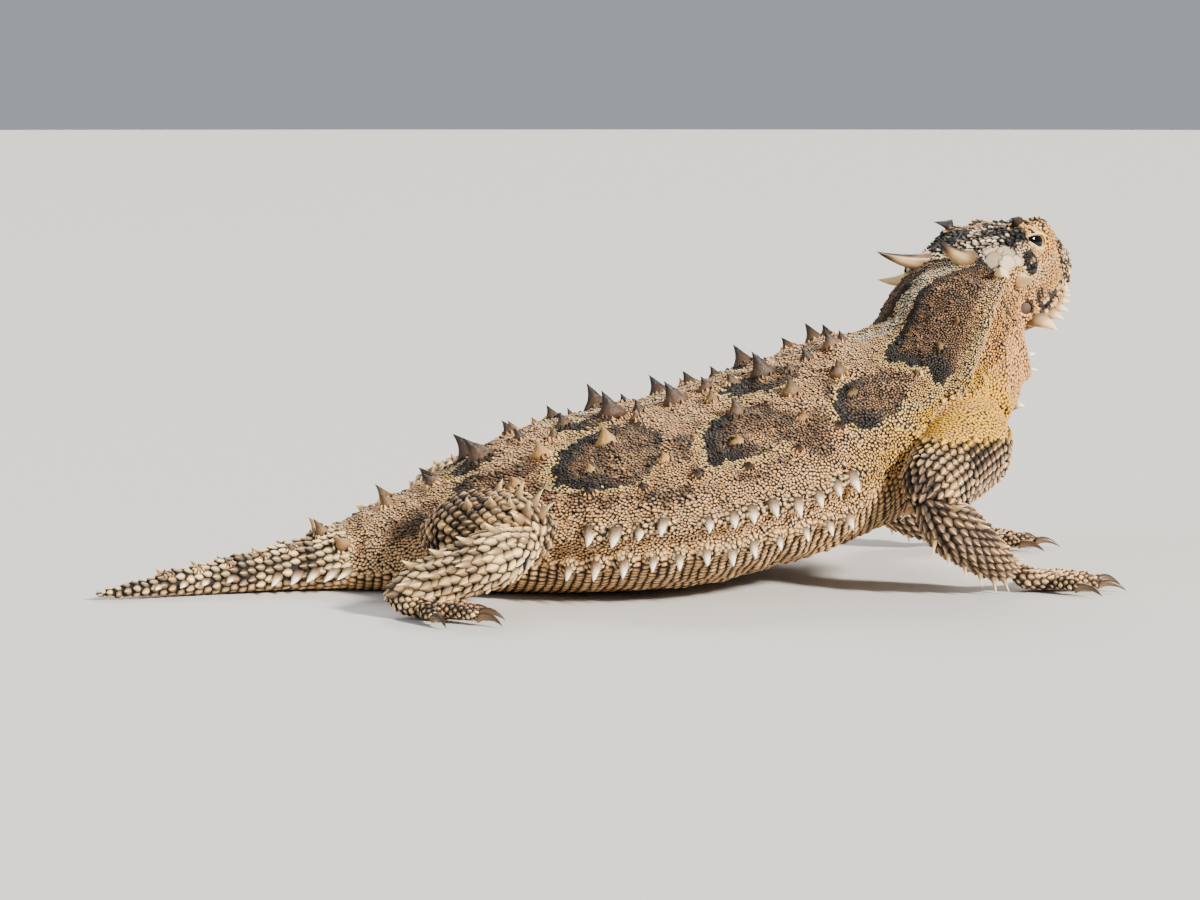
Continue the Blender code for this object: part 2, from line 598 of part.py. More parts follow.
def whole_horn(name, kind, mirror, swell=0.0):
    """A horn from its root inside the head to its tip, thicker and longer by swell."""
    root, tip, radius = HORNS[kind]
    tip = np.array(tip) - (0, 0, HORN_SKEW * mirror)
    root_at, tip_at = from_head(root * np.array([1, mirror, 1])), from_head(tip * np.array([1, mirror, 1]))
    length = np.linalg.norm(tip_at - root_at)
    tip_at = tip_at + 2 * swell * (tip_at - root_at) / length
    bow = HORN_BOW * length * np.array([0.0, 0.0, -1.0])
    return spine(name, root_at, tip_at, radius + swell, sides=10, bow=bow, rings=5)


def make_horns():
    """The paired horns, each cut where it meets the head's surface."""
    horns = []
    for kind in HORNS:
        for word, mirror in (("left", 1), ("right", -1)):
            horn = whole_horn(kind + "_" + word, kind, mirror)
            horns.append(combine(horn, [plain_head("seat", GAP)], "DIFFERENCE"))
    return horns


def limb_table(kind, table, mirror):
    """A limb's table for the right side, or for the left with its free end shifted."""
    if mirror < 0:
        return np.asarray(table, float)
    rows = np.asarray(table, float) * (1, -1, 1, 1, 1)
    share = np.linspace(0, 1, len(rows))[:, None]
    root_shift = {"shank": "thigh", "forearm": "arm"}.get(kind)
    start = np.array(LEFT_FREE_END[root_shift] if root_shift else (0.0, 0.0, 0.0))
    rows[:, :3] += (1 - share) * start + share * np.array(LEFT_FREE_END[kind])
    return rows


def limb_spines(kind, table):
    """Pointed scales in rows along a limb, leaning towards its free end."""
    pieces = []
    for first, last, count, turn, height, radius in LIMB_SPINES[kind]:
        for place in np.linspace(first, last, count):
            rows = follow(table, np.array([place, place + 0.02]) * (len(table) - 1))
            ahead = rows[1, :3] - rows[0, :3]
            ahead /= np.linalg.norm(ahead)
            outer = np.array([0.0, np.sign(rows[0, 1]), 0.0])
            outer -= ahead * outer.dot(ahead)
            outer /= np.linalg.norm(outer)
            upright = np.array([0.0, 0.0, 1.0])
            upright -= ahead * upright.dot(ahead) + outer * upright.dot(outer)
            upright /= np.linalg.norm(upright)
            angle = math.radians(turn)
            out = math.cos(angle) * outer + math.sin(angle) * upright
            thick = 0.5 * (rows[0, 3] + rows[0, 4])
            root = rows[0, :3] + out * (thick - SPINE_SINK - 0.2)
            tip = rows[0, :3] + out * (thick + height) + 0.7 * height * ahead
            tip[2] = max(tip[2], 0.2)
            pieces.append(spine("spine", root, tip, radius, sides=4))
    return pieces


def make_foot(name, design, ankle, mirror):
    """Palm, five toes and their claws, fused: each toe a thin tube laid on the floor, each claw a curved cone."""
    length, wide, thick = design["palm"]
    heading = math.radians(design["heading"]) * -mirror
    ahead = np.array([math.cos(heading), math.sin(heading), 0.0])
    inwards = np.array([-ahead[1], ahead[0], 0.0]) * -mirror
    ankle = np.asarray(ankle, float)
    ground = np.array([ankle[0], ankle[1], 0.0])
    front = ground + ahead * length
    palm = np.array([
        (*ankle, wide * 0.75, 1.8),
        (*(ground + 0.3 * length * ahead + (0, 0, 1.9)), wide * 0.8, 1.6),
        (*(ground + 0.65 * length * ahead + (0, 0, thick + 0.1)), wide, thick),
        (*(front + (0, 0, thick)), wide * 0.95, thick),
        (*(front + 0.9 * ahead + (0, 0, thick * 0.8)), wide * 0.7, thick * 0.8),
    ])
    foot = tube(name, palm, 6, 8)
    pieces = []
    for turn, start, reach in design["toes"]:
        angle = math.radians(turn)
        way = ahead * math.cos(angle) + inwards * math.sin(angle)
        root = front + inwards * start - 0.8 * ahead
        end = root + way * reach
        toe = np.array([
            (*(root + (0, 0, TOE_RADIUS)), TOE_RADIUS * 1.15, TOE_RADIUS),
            (*(root + 0.5 * reach * way + (0, 0, TOE_RADIUS + 0.45)), TOE_RADIUS, TOE_RADIUS),
            (*(end + (0, 0, TOE_RADIUS * 0.85)), TOE_RADIUS * 0.85, TOE_RADIUS * 0.85),
        ])
        pieces.append(tube("toe", toe, 5, TOE_SIDES))
        claw_root = end - 0.5 * way + (0, 0, TOE_RADIUS * 0.95)
        claw_tip = end + way * design["claw"] + (0, 0, 0.16)
        pieces.append(spine("claw", claw_root, claw_tip, CLAW_RADIUS, sides=5, bow=(0, 0, 0.55), rings=3))
    return combine(foot, pieces, "UNION")


def clear_of(thing, cutters):
    """Cut a piece clear of the swollen copies of what it meets."""
    return combine(thing, cutters, "DIFFERENCE")


def make_limbs():
    """Both arms and both hind legs: each length is cut clear of the one that carries it."""
    parts = []
    for word, mirror in (("left", 1), ("right", -1)):
        thigh, shank = limb_table("thigh", THIGH, mirror), limb_table("shank", SHANK, mirror)
        arm, forearm = limb_table("arm", UPPER_ARM, mirror), limb_table("forearm", FOREARM, mirror)

        piece = tube("thigh_" + word, thigh, LIMB_RINGS, LIMB_SIDES)
        combine(piece, limb_spines("thigh", thigh), "UNION")
        parts.append(clear_of(piece, [body_length("seat", 5.0, 13.0, GAP)]))

        piece = tube("shank_" + word, shank, LIMB_RINGS, LIMB_SIDES)
        combine(piece, limb_spines("shank", shank), "UNION")
        clear_of(piece, [tube("seat", thigh, LIMB_RINGS, LIMB_SIDES, GAP)])
        parts.append(clear_of(piece, [body_length("seat", 5.0, 13.0, GAP)]))

        piece = make_foot("foot_" + word, FOOT, shank[-1, :3], mirror)
        parts.append(clear_of(piece, [tube("seat", shank, LIMB_RINGS, LIMB_SIDES, GAP)]))

        piece = tube("upper_arm_" + word, arm, LIMB_RINGS, LIMB_SIDES)
        combine(piece, limb_spines("upper_arm", arm), "UNION")
        parts.append(clear_of(piece, [body_length("seat", 13.0, 19.6, GAP)]))

        piece = tube("forearm_" + word, forearm, LIMB_RINGS, LIMB_SIDES)
        combine(piece, limb_spines("forearm", forearm), "UNION")
        clear_of(piece, [tube("seat", arm, LIMB_RINGS, LIMB_SIDES, GAP)])
        parts.append(clear_of(piece, [body_length("seat", 13.0, 19.6, GAP)]))

        piece = make_foot("hand_" + word, HAND, forearm[-1, :3], mirror)
        parts.append(clear_of(piece, [tube("seat", forearm, LIMB_RINGS, LIMB_SIDES, GAP)]))
    return parts


def make_eyes():
    """The eyeballs, each a ball that sits in its socket under the lids."""
    eyes = []
    for word, mirror in (("left", 1), ("right", -1)):
        centre = from_head(EYE_CENTRE * np.array([1, mirror, 1]))
        eyes.append(ball("eye_" + word, centre, (EYE_RADIUS,) * 3, sides=12))
    return eyes


def finish(thing, colour, roughness):
    """Give a part its own material, smooth shading and its size in metres."""
    material = bpy.data.materials.new(thing.name)
    material.use_nodes = True
    shader = material.node_tree.nodes["Principled BSDF"]
    shader.inputs["Base Color"].default_value = colour
    shader.inputs["Roughness"].default_value = roughness
    shader.inputs["Metallic"].default_value = 0.0
    thing.data.materials.clear()
    thing.data.materials.append(material)
    thing.data.transform(Matrix.Scale(MM, 4))
    thing.data.shade_smooth()
    thing.data.set_sharp_from_angle(angle=math.radians(35))


def centre_on_base(parts):
    """Hang every part on one empty, moved so that the middle of the model's base is the origin."""
    corners = np.array([tuple(v.co) for part in parts for v in part.data.vertices])
    low, high = corners.min(axis=0), corners.max(axis=0)
    carrier = bpy.data.objects.new("lizard", None)
    bpy.context.scene.collection.objects.link(carrier)
    carrier.location = (-(low[0] + high[0]) / 2, -(low[1] + high[1]) / 2, -low[2])
    for part in parts:
        part.parent = carrier


def main():
    """Clear the scene and make the lizard."""
    for thing in list(bpy.data.objects):
        bpy.data.objects.remove(thing)
    draw = np.random.default_rng(SEED)

    parts = [
        body_part("tail_tip", 0.0, TAIL_SPLIT - SPLIT_HALF, draw),
        body_part("tail_base", TAIL_SPLIT + SPLIT_HALF, TAIL_ROOT - SPLIT_HALF, draw),
        body_part("trunk_rear", TAIL_ROOT + SPLIT_HALF, WAIST - SPLIT_HALF, draw),
        body_part("trunk_front", WAIST + SPLIT_HALF, SHOULDER_SPLIT - SPLIT_HALF, draw),
    ]
    for part in parts:
        finish(part, SKIN_TAN, 0.8)
    neck = make_neck(draw)
    finish(neck, SKIN_NECK, 0.8)
    head = make_head()
    finish(head, SKIN_HEAD, 0.75)
    limbs = make_limbs()
    for limb in limbs:
        finish(limb, SKIN_LIMB, 0.8)
    horns = make_horns()
    for horn in horns:
        finish(horn, HORN_TAN, 0.4)
    eyes = make_eyes()
    for eye in eyes:
        finish(eye, EYE_DARK, 0.05)
    centre_on_base(parts + [neck, head] + limbs + horns + eyes)


main()
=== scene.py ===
import math

import bpy
import numpy as np
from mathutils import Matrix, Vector
from mathutils.bvhtree import BVHTree
from mathutils.kdtree import KDTree


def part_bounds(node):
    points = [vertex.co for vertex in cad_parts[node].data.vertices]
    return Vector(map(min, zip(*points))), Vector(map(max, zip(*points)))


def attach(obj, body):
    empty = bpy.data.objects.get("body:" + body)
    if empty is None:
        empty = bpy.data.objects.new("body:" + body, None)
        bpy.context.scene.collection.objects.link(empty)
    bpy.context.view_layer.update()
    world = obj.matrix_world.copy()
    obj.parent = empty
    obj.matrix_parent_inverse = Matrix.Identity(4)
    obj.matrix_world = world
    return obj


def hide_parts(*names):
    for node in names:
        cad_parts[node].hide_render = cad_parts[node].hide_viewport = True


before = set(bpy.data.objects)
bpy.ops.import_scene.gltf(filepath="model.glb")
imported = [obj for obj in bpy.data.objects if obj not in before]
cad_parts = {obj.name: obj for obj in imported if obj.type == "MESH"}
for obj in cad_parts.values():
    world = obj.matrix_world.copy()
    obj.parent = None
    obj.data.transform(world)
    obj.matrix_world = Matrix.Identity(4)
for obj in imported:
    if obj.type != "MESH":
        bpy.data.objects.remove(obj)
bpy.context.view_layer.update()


# The hide. A horned lizard's skin is one dry, loose sheet from snout to claws. It is made here as one closed
# surface a little inside the solids, so that the scales on it reach their faces: the trunk, head and limbs are
# lofts through the solids' own sections, fused into one mesh, then smoothed and folded.
#
# All is in millimetres and degrees. A row of AXIS is a section's centre x, y, z, its pitch and yaw, its half
# width, its height above and depth below the centre, and the powers of its upper and lower half, where
# 2 is an ellipse.
AXIS = (
    (-0.6, -6.2, 0.9, 0, 16, 0.5, 0.5, 0.9, 2.0, 2.0),
    (4.0, -5.0, 1.3, 0, 14, 1.5, 1.0, 1.4, 2.0, 2.4),
    (10.0, -3.6, 1.7, 0, 12, 2.2, 1.7, 1.8, 1.9, 2.6),
    (16.0, -2.3, 2.1, 0, 10, 2.9, 2.4, 2.3, 1.9, 2.6),
    (22.0, -1.1, 2.6, 0, 8, 3.9, 3.2, 2.8, 1.8, 2.6),
    (27.0, -0.4, 3.1, 0, 4, 5.3, 4.3, 3.4, 1.8, 2.6),
    (31.0, 0.0, 3.8, 0, 0, 7.4, 5.3, 4.1, 1.8, 2.6),
    (36.0, 0.0, 4.7, 0, 0, 10.2, 6.4, 5.1, 1.8, 2.6),
    (42.0, 0.0, 5.6, 0, 0, 13.8, 8.8, 6.1, 1.8, 2.6),
    (48.0, 0.0, 6.6, 0, 0, 17.6, 11.0, 7.1, 1.75, 2.5),
    (54.0, 0.0, 7.6, 0, 0, 21.4, 12.1, 8.1, 1.7, 2.5),
    (60.0, 0.0, 8.4, 0, 0, 24.2, 12.6, 8.8, 1.7, 2.4),
    (66.0, 0.0, 9.2, 0, 0, 25.8, 12.9, 9.4, 1.7, 2.3),
    (72.0, 0.0, 10.0, 0, 0, 26.0, 13.9, 9.4, 1.7, 2.3),
    (78.0, 0.0, 11.0, 0, 0, 24.8, 14.9, 9.3, 1.7, 2.2),
    (84.0, 0.0, 12.4, 2, 0, 22.2, 15.2, 9.4, 1.75, 2.2),
    (90.0, 0.0, 14.8, 10, 0, 18.4, 14.6, 9.6, 1.8, 2.2),
    (95.5, 0.0, 18.4, 25, 0, 14.8, 12.5, 10.6, 1.9, 2.2),
    (101.0, 0.2, 24.2, 42, 4, 12.4, 9.2, 12.0, 2.0, 2.2),
    (105.0, 0.8, 30.0, 48, 12, 10.0, 9.0, 10.3, 2.1, 2.3),
    (106.8, 3.0, 34.4, 34, 26, 8.0, 5.4, 11.6, 2.1, 2.4),
    (109.4, 5.8, 36.4, 18, 35, 6.2, 2.4, 7.6, 2.1, 2.4),
)
NECK_END = 20.9
HEAD_ORIGIN = (104.94, 3.0, 34.94)
HEAD_YAW, HEAD_PITCH, HEAD_ROLL = 35.9, 14.7, -3.9
# A row of SKULL, in the head's own frame: x, half width, widest line, top, bottom, upper and lower power.
SKULL = (
    (-1.6, 2.4, -1.0, 1.2, -4.0, 2.0, 2.0),
    (-1.1, 5.6, -0.7, 3.3, -6.2, 2.2, 2.1),
    (1.0, 7.7, 0.1, 4.5, -7.6, 2.7, 2.4),
    (4.0, 8.3, -0.2, 5.0, -8.3, 3.0, 2.7),
    (7.5, 8.1, -0.6, 5.5, -8.4, 3.3, 2.9),
    (11.0, 7.4, -0.8, 5.4, -8.2, 3.4, 2.9),
    (14.5, 6.3, -1.2, 4.7, -7.7, 3.2, 2.7),
    (17.5, 5.0, -2.0, 2.6, -7.2, 2.8, 2.5),
    (19.7, 3.8, -2.7, 0.2, -6.6, 2.5, 2.3),
    (20.9, 2.6, -3.2, -1.6, -5.8, 2.2, 2.1),
    (21.3, 1.1, -3.5, -2.6, -4.6, 2.0, 2.0),
)
# A swelling of the skull: its middle, its spread along x, y and z, and its height.
SKULL_BUMPS = (
    ((9.5, 5.3, 5.4), (2.8, 1.6, 2.2), 1.5),
    ((14.2, 4.9, 4.3), (2.2, 1.4, 2.0), 1.1),
    ((2.6, 8.6, 0.9), (2.4, 2.4, 1.2), 0.8),
    ((3.4, 8.0, -3.6), (1.9, 2.4, 1.6), -0.6),
    ((9.0, 7.6, -6.2), (4.8, 3.0, 1.5), 1.1),
    ((10.7, 7.4, 2.6), (1.6, 1.8, 1.3), -0.7),
    ((10.0, 0.0, 5.8), (4.5, 2.4, 2.0), -0.5),
)
EYE_CENTRE = (10.2, 5.1, 2.8)
EYE_RADIUS = 1.9
# A row of a limb: centre x, y, z, half width and half height. The left limbs are the right ones mirrored, with
# their first and last ends shifted.
THIGH = (
    (39.0, -7.0, 6.6, 4.8, 4.6),
    (42.0, -13.0, 7.6, 5.4, 5.2),
    (45.4, -18.6, 8.8, 5.0, 4.8),
    (47.8, -23.0, 9.4, 4.2, 4.0),
    (48.6, -25.0, 9.4, 2.8, 2.6),
)
SHANK = (
    (48.6, -24.4, 8.8, 3.4, 3.2),
    (44.6, -25.6, 7.2, 3.9, 3.5),
    (39.4, -25.4, 5.2, 3.3, 3.1),
    (34.4, -24.2, 3.6, 2.5, 2.4),
    (31.8, -23.2, 2.8, 1.9, 1.9),
)
UPPER_ARM = (
    (106.0, -6.0, 19.4, 6.1, 6.9),
    (103.2, -11.6, 17.4, 5.7, 6.3),
    (99.2, -16.6, 14.8, 4.7, 5.0),
    (95.8, -20.2, 12.6, 3.9, 4.1),
    (94.2, -21.8, 11.6, 2.8, 2.8),
)
FOREARM = (
    (94.8, -21.6, 11.4, 3.2, 3.2),
    (97.8, -21.2, 8.8, 3.6, 3.5),
    (101.6, -20.2, 5.8, 3.1, 3.0),
    (104.8, -19.2, 3.6, 2.5, 2.3),
    (106.6, -18.4, 2.7, 1.9, 1.8),
)
LEFT_SHIFTS = {
    "thigh": ((0.0, 0.0, 0.0), (2.0, 0.6, -0.2)),
    "shank": ((2.0, 0.6, -0.2), (-1.5, 1.2, 0.0)),
    "arm": ((0.0, 0.0, 0.0), (3.0, -0.6, -2.0)),
    "forearm": ((3.0, -0.6, -2.0), (3.0, 1.4, 0.0)),
}
# A palm's length, half width and half thickness, and each toe's turn from the heading, its start across the
# palm and its reach.
HAND = {
    "palm": (5.0, 2.5, 1.25),
    "heading": 8.0,
    "toes": ((58, 1.7, 3.4), (27, 1.2, 6.0), (4, 0.3, 7.8), (-20, -0.8, 6.6), (-55, -1.6, 4.2)),
    "claw": 2.9,
}
FOOT = {
    "palm": (5.6, 2.2, 1.3),
    "heading": -34.0,
    "toes": ((44, 1.6, 3.0), (24, 1.2, 4.8), (8, 0.5, 6.6), (-8, -0.5, 8.0), (-38, -1.5, 4.2)),
    "claw": 2.6,
}
TOE_RADIUS = 0.95
BODY_INSET, HEAD_INSET, LIMB_INSET, TOE_INSET = 0.38, 0.34, 0.34, 0.16
THINNEST = 0.15
HIDE_VOXEL = 0.43
SMOOTHING_STEPS, BODY_SMOOTHING, HEAD_SMOOTHING, TOE_SMOOTHING = 7, 0.5, 0.35, 0.18
# Painted shade: the factor that darkens the hide in the gaps between the scales.
HIDE_PAINTED_SHADE = 0.24


def follow(table, places):
    """Smooth curve through a table's rows, read at row numbers: a Catmull-Rom cubic between rows."""
    rows = np.asarray(table, float)
    places = np.clip(np.asarray(places, float), 0, len(rows) - 1)
    first = np.minimum(places.astype(int), len(rows) - 2)
    t = (places - first)[..., None]
    before, start = rows[np.maximum(first - 1, 0)], rows[first]
    end, after = rows[first + 1], rows[np.minimum(first + 2, len(rows) - 1)]
    line = (end - before) * t
    square = (2 * before - 5 * start + 4 * end - after) * t**2
    cube = (3 * start - before - 3 * end + after) * t**3
    return 0.5 * (2 * start + line + square + cube)


def unit(vectors):
    """Vectors divided by their lengths."""
    return vectors / np.maximum(np.linalg.norm(vectors, axis=-1, keepdims=True), 1e-9)


def rounded(angle, across, above, below, top, bottom):
    """Superellipse: width times cos to a power, height times sin to a power, its two halves unlike."""
    side, rise = np.cos(angle), np.sin(angle)
    power = 2 / np.where(rise >= 0, top, bottom)
    height = np.where(rise >= 0, above, below)
    return across * np.sign(side) * np.abs(side) ** power, height * np.sign(rise) * np.abs(rise) ** power


def body_points(places, angles, swell=0.0):
    """Points of the trunk at section numbers and angles: a section's superellipse, pitched and yawed at its
    centre. Angle 0 is the left side and 90 degrees the back."""
    places, angles = np.broadcast_arrays(places, angles)
    x, y, z, pitch, yaw, wide, above, below, top, bottom = np.moveaxis(follow(AXIS, places), -1, 0)
    pitch, yaw = np.radians(pitch), np.radians(yaw)
    wide, above, below = (np.maximum(size + swell, THINNEST) for size in (wide, above, below))
    side, rise = rounded(angles, wide, above, below, top, bottom)
    px = x - side * np.sin(yaw) - rise * np.sin(pitch) * np.cos(yaw)
    py = y + side * np.cos(yaw) - rise * np.sin(pitch) * np.sin(yaw)
    return np.stack([px, py, np.maximum(z + rise * np.cos(pitch), -swell)], axis=-1)


def body_spots(places, angles):
    """Points on the body with their outward normals and the way back along it, from small steps each way."""
    step = 0.02
    along = body_points(places + step, angles) - body_points(places - step, angles)
    around = body_points(places, angles + step) - body_points(places, angles - step)
    return body_points(places, angles), unit(np.cross(around, along)), -unit(along)


yaw, pitch, roll = np.radians([HEAD_YAW, HEAD_PITCH, HEAD_ROLL])
head_forward = np.array([np.cos(pitch) * np.cos(yaw), np.cos(pitch) * np.sin(yaw), np.sin(pitch)])
level = np.array([-np.sin(yaw), np.cos(yaw), 0.0])
upright = np.cross(head_forward, level)
head_left = np.cos(roll) * level + np.sin(roll) * upright
HEAD_AXES = np.array([head_forward, head_left, np.cos(roll) * upright - np.sin(roll) * level])


def from_head(points):
    """Points of the head's own frame in the body's."""
    return np.asarray(HEAD_ORIGIN) + np.asarray(points, float) @ HEAD_AXES


def to_head(points):
    """Points of the body's frame in the head's own."""
    return (np.asarray(points) - HEAD_ORIGIN) @ HEAD_AXES.T


def beside(spot, mirror):
    """A place of the head's frame on its left side, or mirrored on its right."""
    return np.array(spot) * (1, mirror, 1)


def skull_points(places, angles, swell=0.0):
    """Points of the head in its own frame: superellipse sections along x, pushed out by round swellings that
    fade as exp of minus the squared distance."""
    places, angles = np.broadcast_arrays(places, angles)
    x, wide, middle, top, bottom, upper, lower = np.moveaxis(follow(SKULL, places), -1, 0)
    side, rise = rounded(angles, wide + swell, top - middle + swell, middle - bottom + swell, upper, lower)
    points = np.stack([x, side, middle + rise], axis=-1)
    out = unit(np.stack([0 * side, side / (wide + swell), rise / (top - bottom + swell)], axis=-1))
    for centre, spread, height in SKULL_BUMPS:
        for mirror in (1, -1) if centre[1] else (1,):
            away = (points - beside(centre, mirror)) / spread
            points = points + height * np.exp(-(away**2).sum(axis=-1))[..., None] * out
    return points


def limb_table(kind, table, mirror):
    """A limb's table for the right side, or mirrored for the left with its ends shifted."""
    if mirror < 0:
        return np.asarray(table, float)
    rows = np.asarray(table, float) * (1, -1, 1, 1, 1)
    share = np.linspace(0, 1, len(rows))[:, None]
    start, end = (np.array(shift) for shift in LEFT_SHIFTS[kind])
    rows[:, :3] += (1 - share) * start + share * end
    return rows


def tube_points(table, shares, angles, swell=0.0):
    """Points round a limb: its centre plus ellipse axes across and upright, drawn in at both ends; also the
    way outwards and the way ahead along it."""
    rows = follow(table, shares * (len(table) - 1))
    step = 0.01
    ends = follow(table, np.clip(shares + step, 0, 1) * (len(table) - 1))[..., :3]
    starts = follow(table, np.clip(shares - step, 0, 1) * (len(table) - 1))[..., :3]
    ahead = unit(ends - starts)
    across = unit(np.cross(ahead, (0.0, 0.0, 1.0)))
    upward = np.cross(across, ahead)
    fade = np.sqrt(np.clip(0.12 + 3.0 * np.minimum(shares, 1 - shares), 0, 1))
    wide = (np.maximum(rows[..., 3] * fade + swell, 0.1) * np.cos(angles))[..., None]
    tall = (np.maximum(rows[..., 4] * fade + swell, 0.1) * np.sin(angles))[..., None]
    points = rows[..., :3] + wide * across + tall * upward
    points[..., 2] = np.maximum(points[..., 2], -swell)
    out = unit(np.cos(angles)[..., None] * across + np.sin(angles)[..., None] * upward)
    return points, out, ahead


def foot_tables(design, ankle, mirror):
    """Tables of centres and half thicknesses for a palm and its five toes laid on the floor, and for each
    toe the root and tip of its claw."""
    length, wide, thick = design["palm"]
    heading = math.radians(design["heading"]) * -mirror
    ahead = np.array([math.cos(heading), math.sin(heading), 0.0])
    inwards = np.array([-ahead[1], ahead[0], 0.0]) * -mirror
    ground = np.array([ankle[0], ankle[1], 0.0])
    front = ground + ahead * length
    palm = np.array([
        (*ankle, wide * 0.75, 1.8),
        (*(ground + 0.3 * length * ahead + (0, 0, 1.9)), wide * 0.8, 1.6),
        (*(ground + 0.65 * length * ahead + (0, 0, thick + 0.1)), wide, thick),
        (*(front + (0, 0, thick)), wide * 0.95, thick),
        (*(front + 0.9 * ahead + (0, 0, thick * 0.8)), wide * 0.7, thick * 0.8),
    ])
    toes, claws = [], []
    for turn, start, reach in design["toes"]:
        angle = math.radians(turn)
        way = ahead * math.cos(angle) + inwards * math.sin(angle)
        root = front + inwards * start - 0.8 * ahead
        end = root + way * reach
        toes.append(np.array([
            (*(root + (0, 0, TOE_RADIUS)), TOE_RADIUS * 1.15, TOE_RADIUS),
            (*(root + 0.5 * reach * way + (0, 0, TOE_RADIUS + 0.45)), TOE_RADIUS, TOE_RADIUS),
            (*(end + (0, 0, TOE_RADIUS * 0.85)), TOE_RADIUS * 0.85, TOE_RADIUS * 0.85),
        ]))
        claws.append((end - 0.5 * way + (0, 0, TOE_RADIUS * 0.95), end + way * design["claw"] + (0, 0, 0.16)))
    return palm, toes, claws


def grid_faces(count, sides, start=0):
    """Faces of a tube of rings whose two ends are shut by fans to the two points that follow the rings."""
    number = start + np.arange(count * sides).reshape(count, sides)
    turned = np.roll(number, -1, axis=1)
    faces = np.stack([number[:-1], number[1:], turned[1:], turned[:-1]], axis=-1).reshape(-1, 4).tolist()
    last = start + count * sides
    faces += np.stack([number[0], turned[0], np.full(sides, last)], axis=-1).tolist()
    faces += np.stack([turned[-1], number[-1], np.full(sides, last + 1)], axis=-1).tolist()
    return faces


class Lofts:
    """The lofts that the hide is fused from, kept as points with each point's part and place on it."""

    def __init__(self):
        self.points, self.faces, self.part, self.share, self.turn = [], [], [], [], []
        self.total = 0

    def add(self, part, shares, angles, rings):
        """Add one closed tube; shares run 0 to 1 along it and angles round it."""
        count, sides = rings.shape[:2]
        self.faces += grid_faces(count, sides, self.total)
        ends = np.stack([rings[0].mean(axis=0), rings[-1].mean(axis=0)])
        self.points.append(np.concatenate([rings.reshape(-1, 3), ends]))
        self.part += [part] * (count * sides + 2)
        self.share.append(np.concatenate([np.repeat(shares, sides), [0, 1]]))
        self.turn.append(np.concatenate([np.tile(angles, count), [0, 0]]))
        self.total += count * sides + 2


lofts = Lofts()
circle = np.linspace(0, 2 * np.pi, 150, endpoint=False)
stations = np.linspace(0, NECK_END, 420)
lofts.add("body", stations / NECK_END, circle, body_points(stations[:, None], circle[None, :], -BODY_INSET))
stations = np.linspace(0, len(SKULL) - 1, 110)
skull = from_head(skull_points(stations[:, None], circle[None, :], -HEAD_INSET))
lofts.add("head", stations / (len(SKULL) - 1), circle, skull)

limbs, feet = {}, {}
shares, circle = np.linspace(0, 1, 50), np.linspace(0, 2 * np.pi, 48, endpoint=False)
for word, mirror in (("left", 1), ("right", -1)):
    for kind, table in (("thigh", THIGH), ("shank", SHANK), ("arm", UPPER_ARM), ("forearm", FOREARM)):
        limbs[kind + "_" + word] = limb_table(kind, table, mirror)
    feet["hand_" + word] = foot_tables(HAND, limbs["forearm_" + word][-1, :3], mirror)
    feet["foot_" + word] = foot_tables(FOOT, limbs["shank_" + word][-1, :3], mirror)
for name, table in limbs.items():
    lofts.add(name, shares, circle, tube_points(table, shares[:, None], circle[None, :], -LIMB_INSET)[0])
shares, circle = np.linspace(0, 1, 24), np.linspace(0, 2 * np.pi, 24, endpoint=False)
for name, (palm, toes, claws) in feet.items():
    lofts.add(name, shares, circle, tube_points(palm, shares[:, None], circle[None, :], -TOE_INSET)[0])
    for number, toe in enumerate(toes):
        rings = tube_points(toe, shares[:, None], circle[None, :], -TOE_INSET)[0]
        lofts.add(f"{name}_toe{number}", shares, circle, rings)

loft_points = np.concatenate(lofts.points)
loft_part = np.array(lofts.part)
loft_share, loft_turn = np.concatenate(lofts.share), np.concatenate(lofts.turn)
loft_tree = KDTree(len(loft_points))
for number, point in enumerate(loft_points):
    loft_tree.insert(point, number)
loft_tree.balance()

eye_low, eye_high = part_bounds("eye_right")
PLACE = (np.array(eye_low) + np.array(eye_high)) / 2 - 0.001 * from_head(beside(EYE_CENTRE, -1))


def in_metres(points):
    """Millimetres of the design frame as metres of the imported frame."""
    return 0.001 * np.asarray(points, float) + PLACE


def link(name, mesh):
    """An object for a mesh, in the scene."""
    thing = bpy.data.objects.new(name, mesh)
    bpy.context.scene.collection.objects.link(thing)
    return thing


def fused(points, faces, voxel):
    """Closed surfaces fused into one by a voxel remesh, in millimetres: its points and quads."""
    mesh = bpy.data.meshes.new("lofts")
    mesh.from_pydata((0.001 * points).tolist(), [], faces)
    thing = link("lofts", mesh)
    change = thing.modifiers.new("fuse", "REMESH")
    change.mode = "VOXEL"
    change.voxel_size = 0.001 * voxel
    change.adaptivity = 0.0
    bpy.context.view_layer.update()
    result = bpy.data.meshes.new_from_object(thing.evaluated_get(bpy.context.evaluated_depsgraph_get()))
    found = np.empty(len(result.vertices) * 3, np.float32)
    result.vertices.foreach_get("co", found)
    corners = np.empty(len(result.loops), np.int32)
    result.loops.foreach_get("vertex_index", corners)
    bpy.data.objects.remove(thing)
    bpy.data.meshes.remove(mesh)
    bpy.data.meshes.remove(result)
    return found.reshape(-1, 3).astype(float) * 1000, corners.reshape(-1, 4)


def vertex_normals(points, quads):
    """Each point's normal: the sum of its quads' normals, whose lengths are their areas."""
    normal = np.cross(points[quads[:, 2]] - points[quads[:, 0]], points[quads[:, 3]] - points[quads[:, 1]])
    total = np.zeros_like(points)
    for corner in range(4):
        for axis in range(3):
            total[:, axis] += np.bincount(quads[:, corner], normal[:, axis], len(points))
    return unit(total)


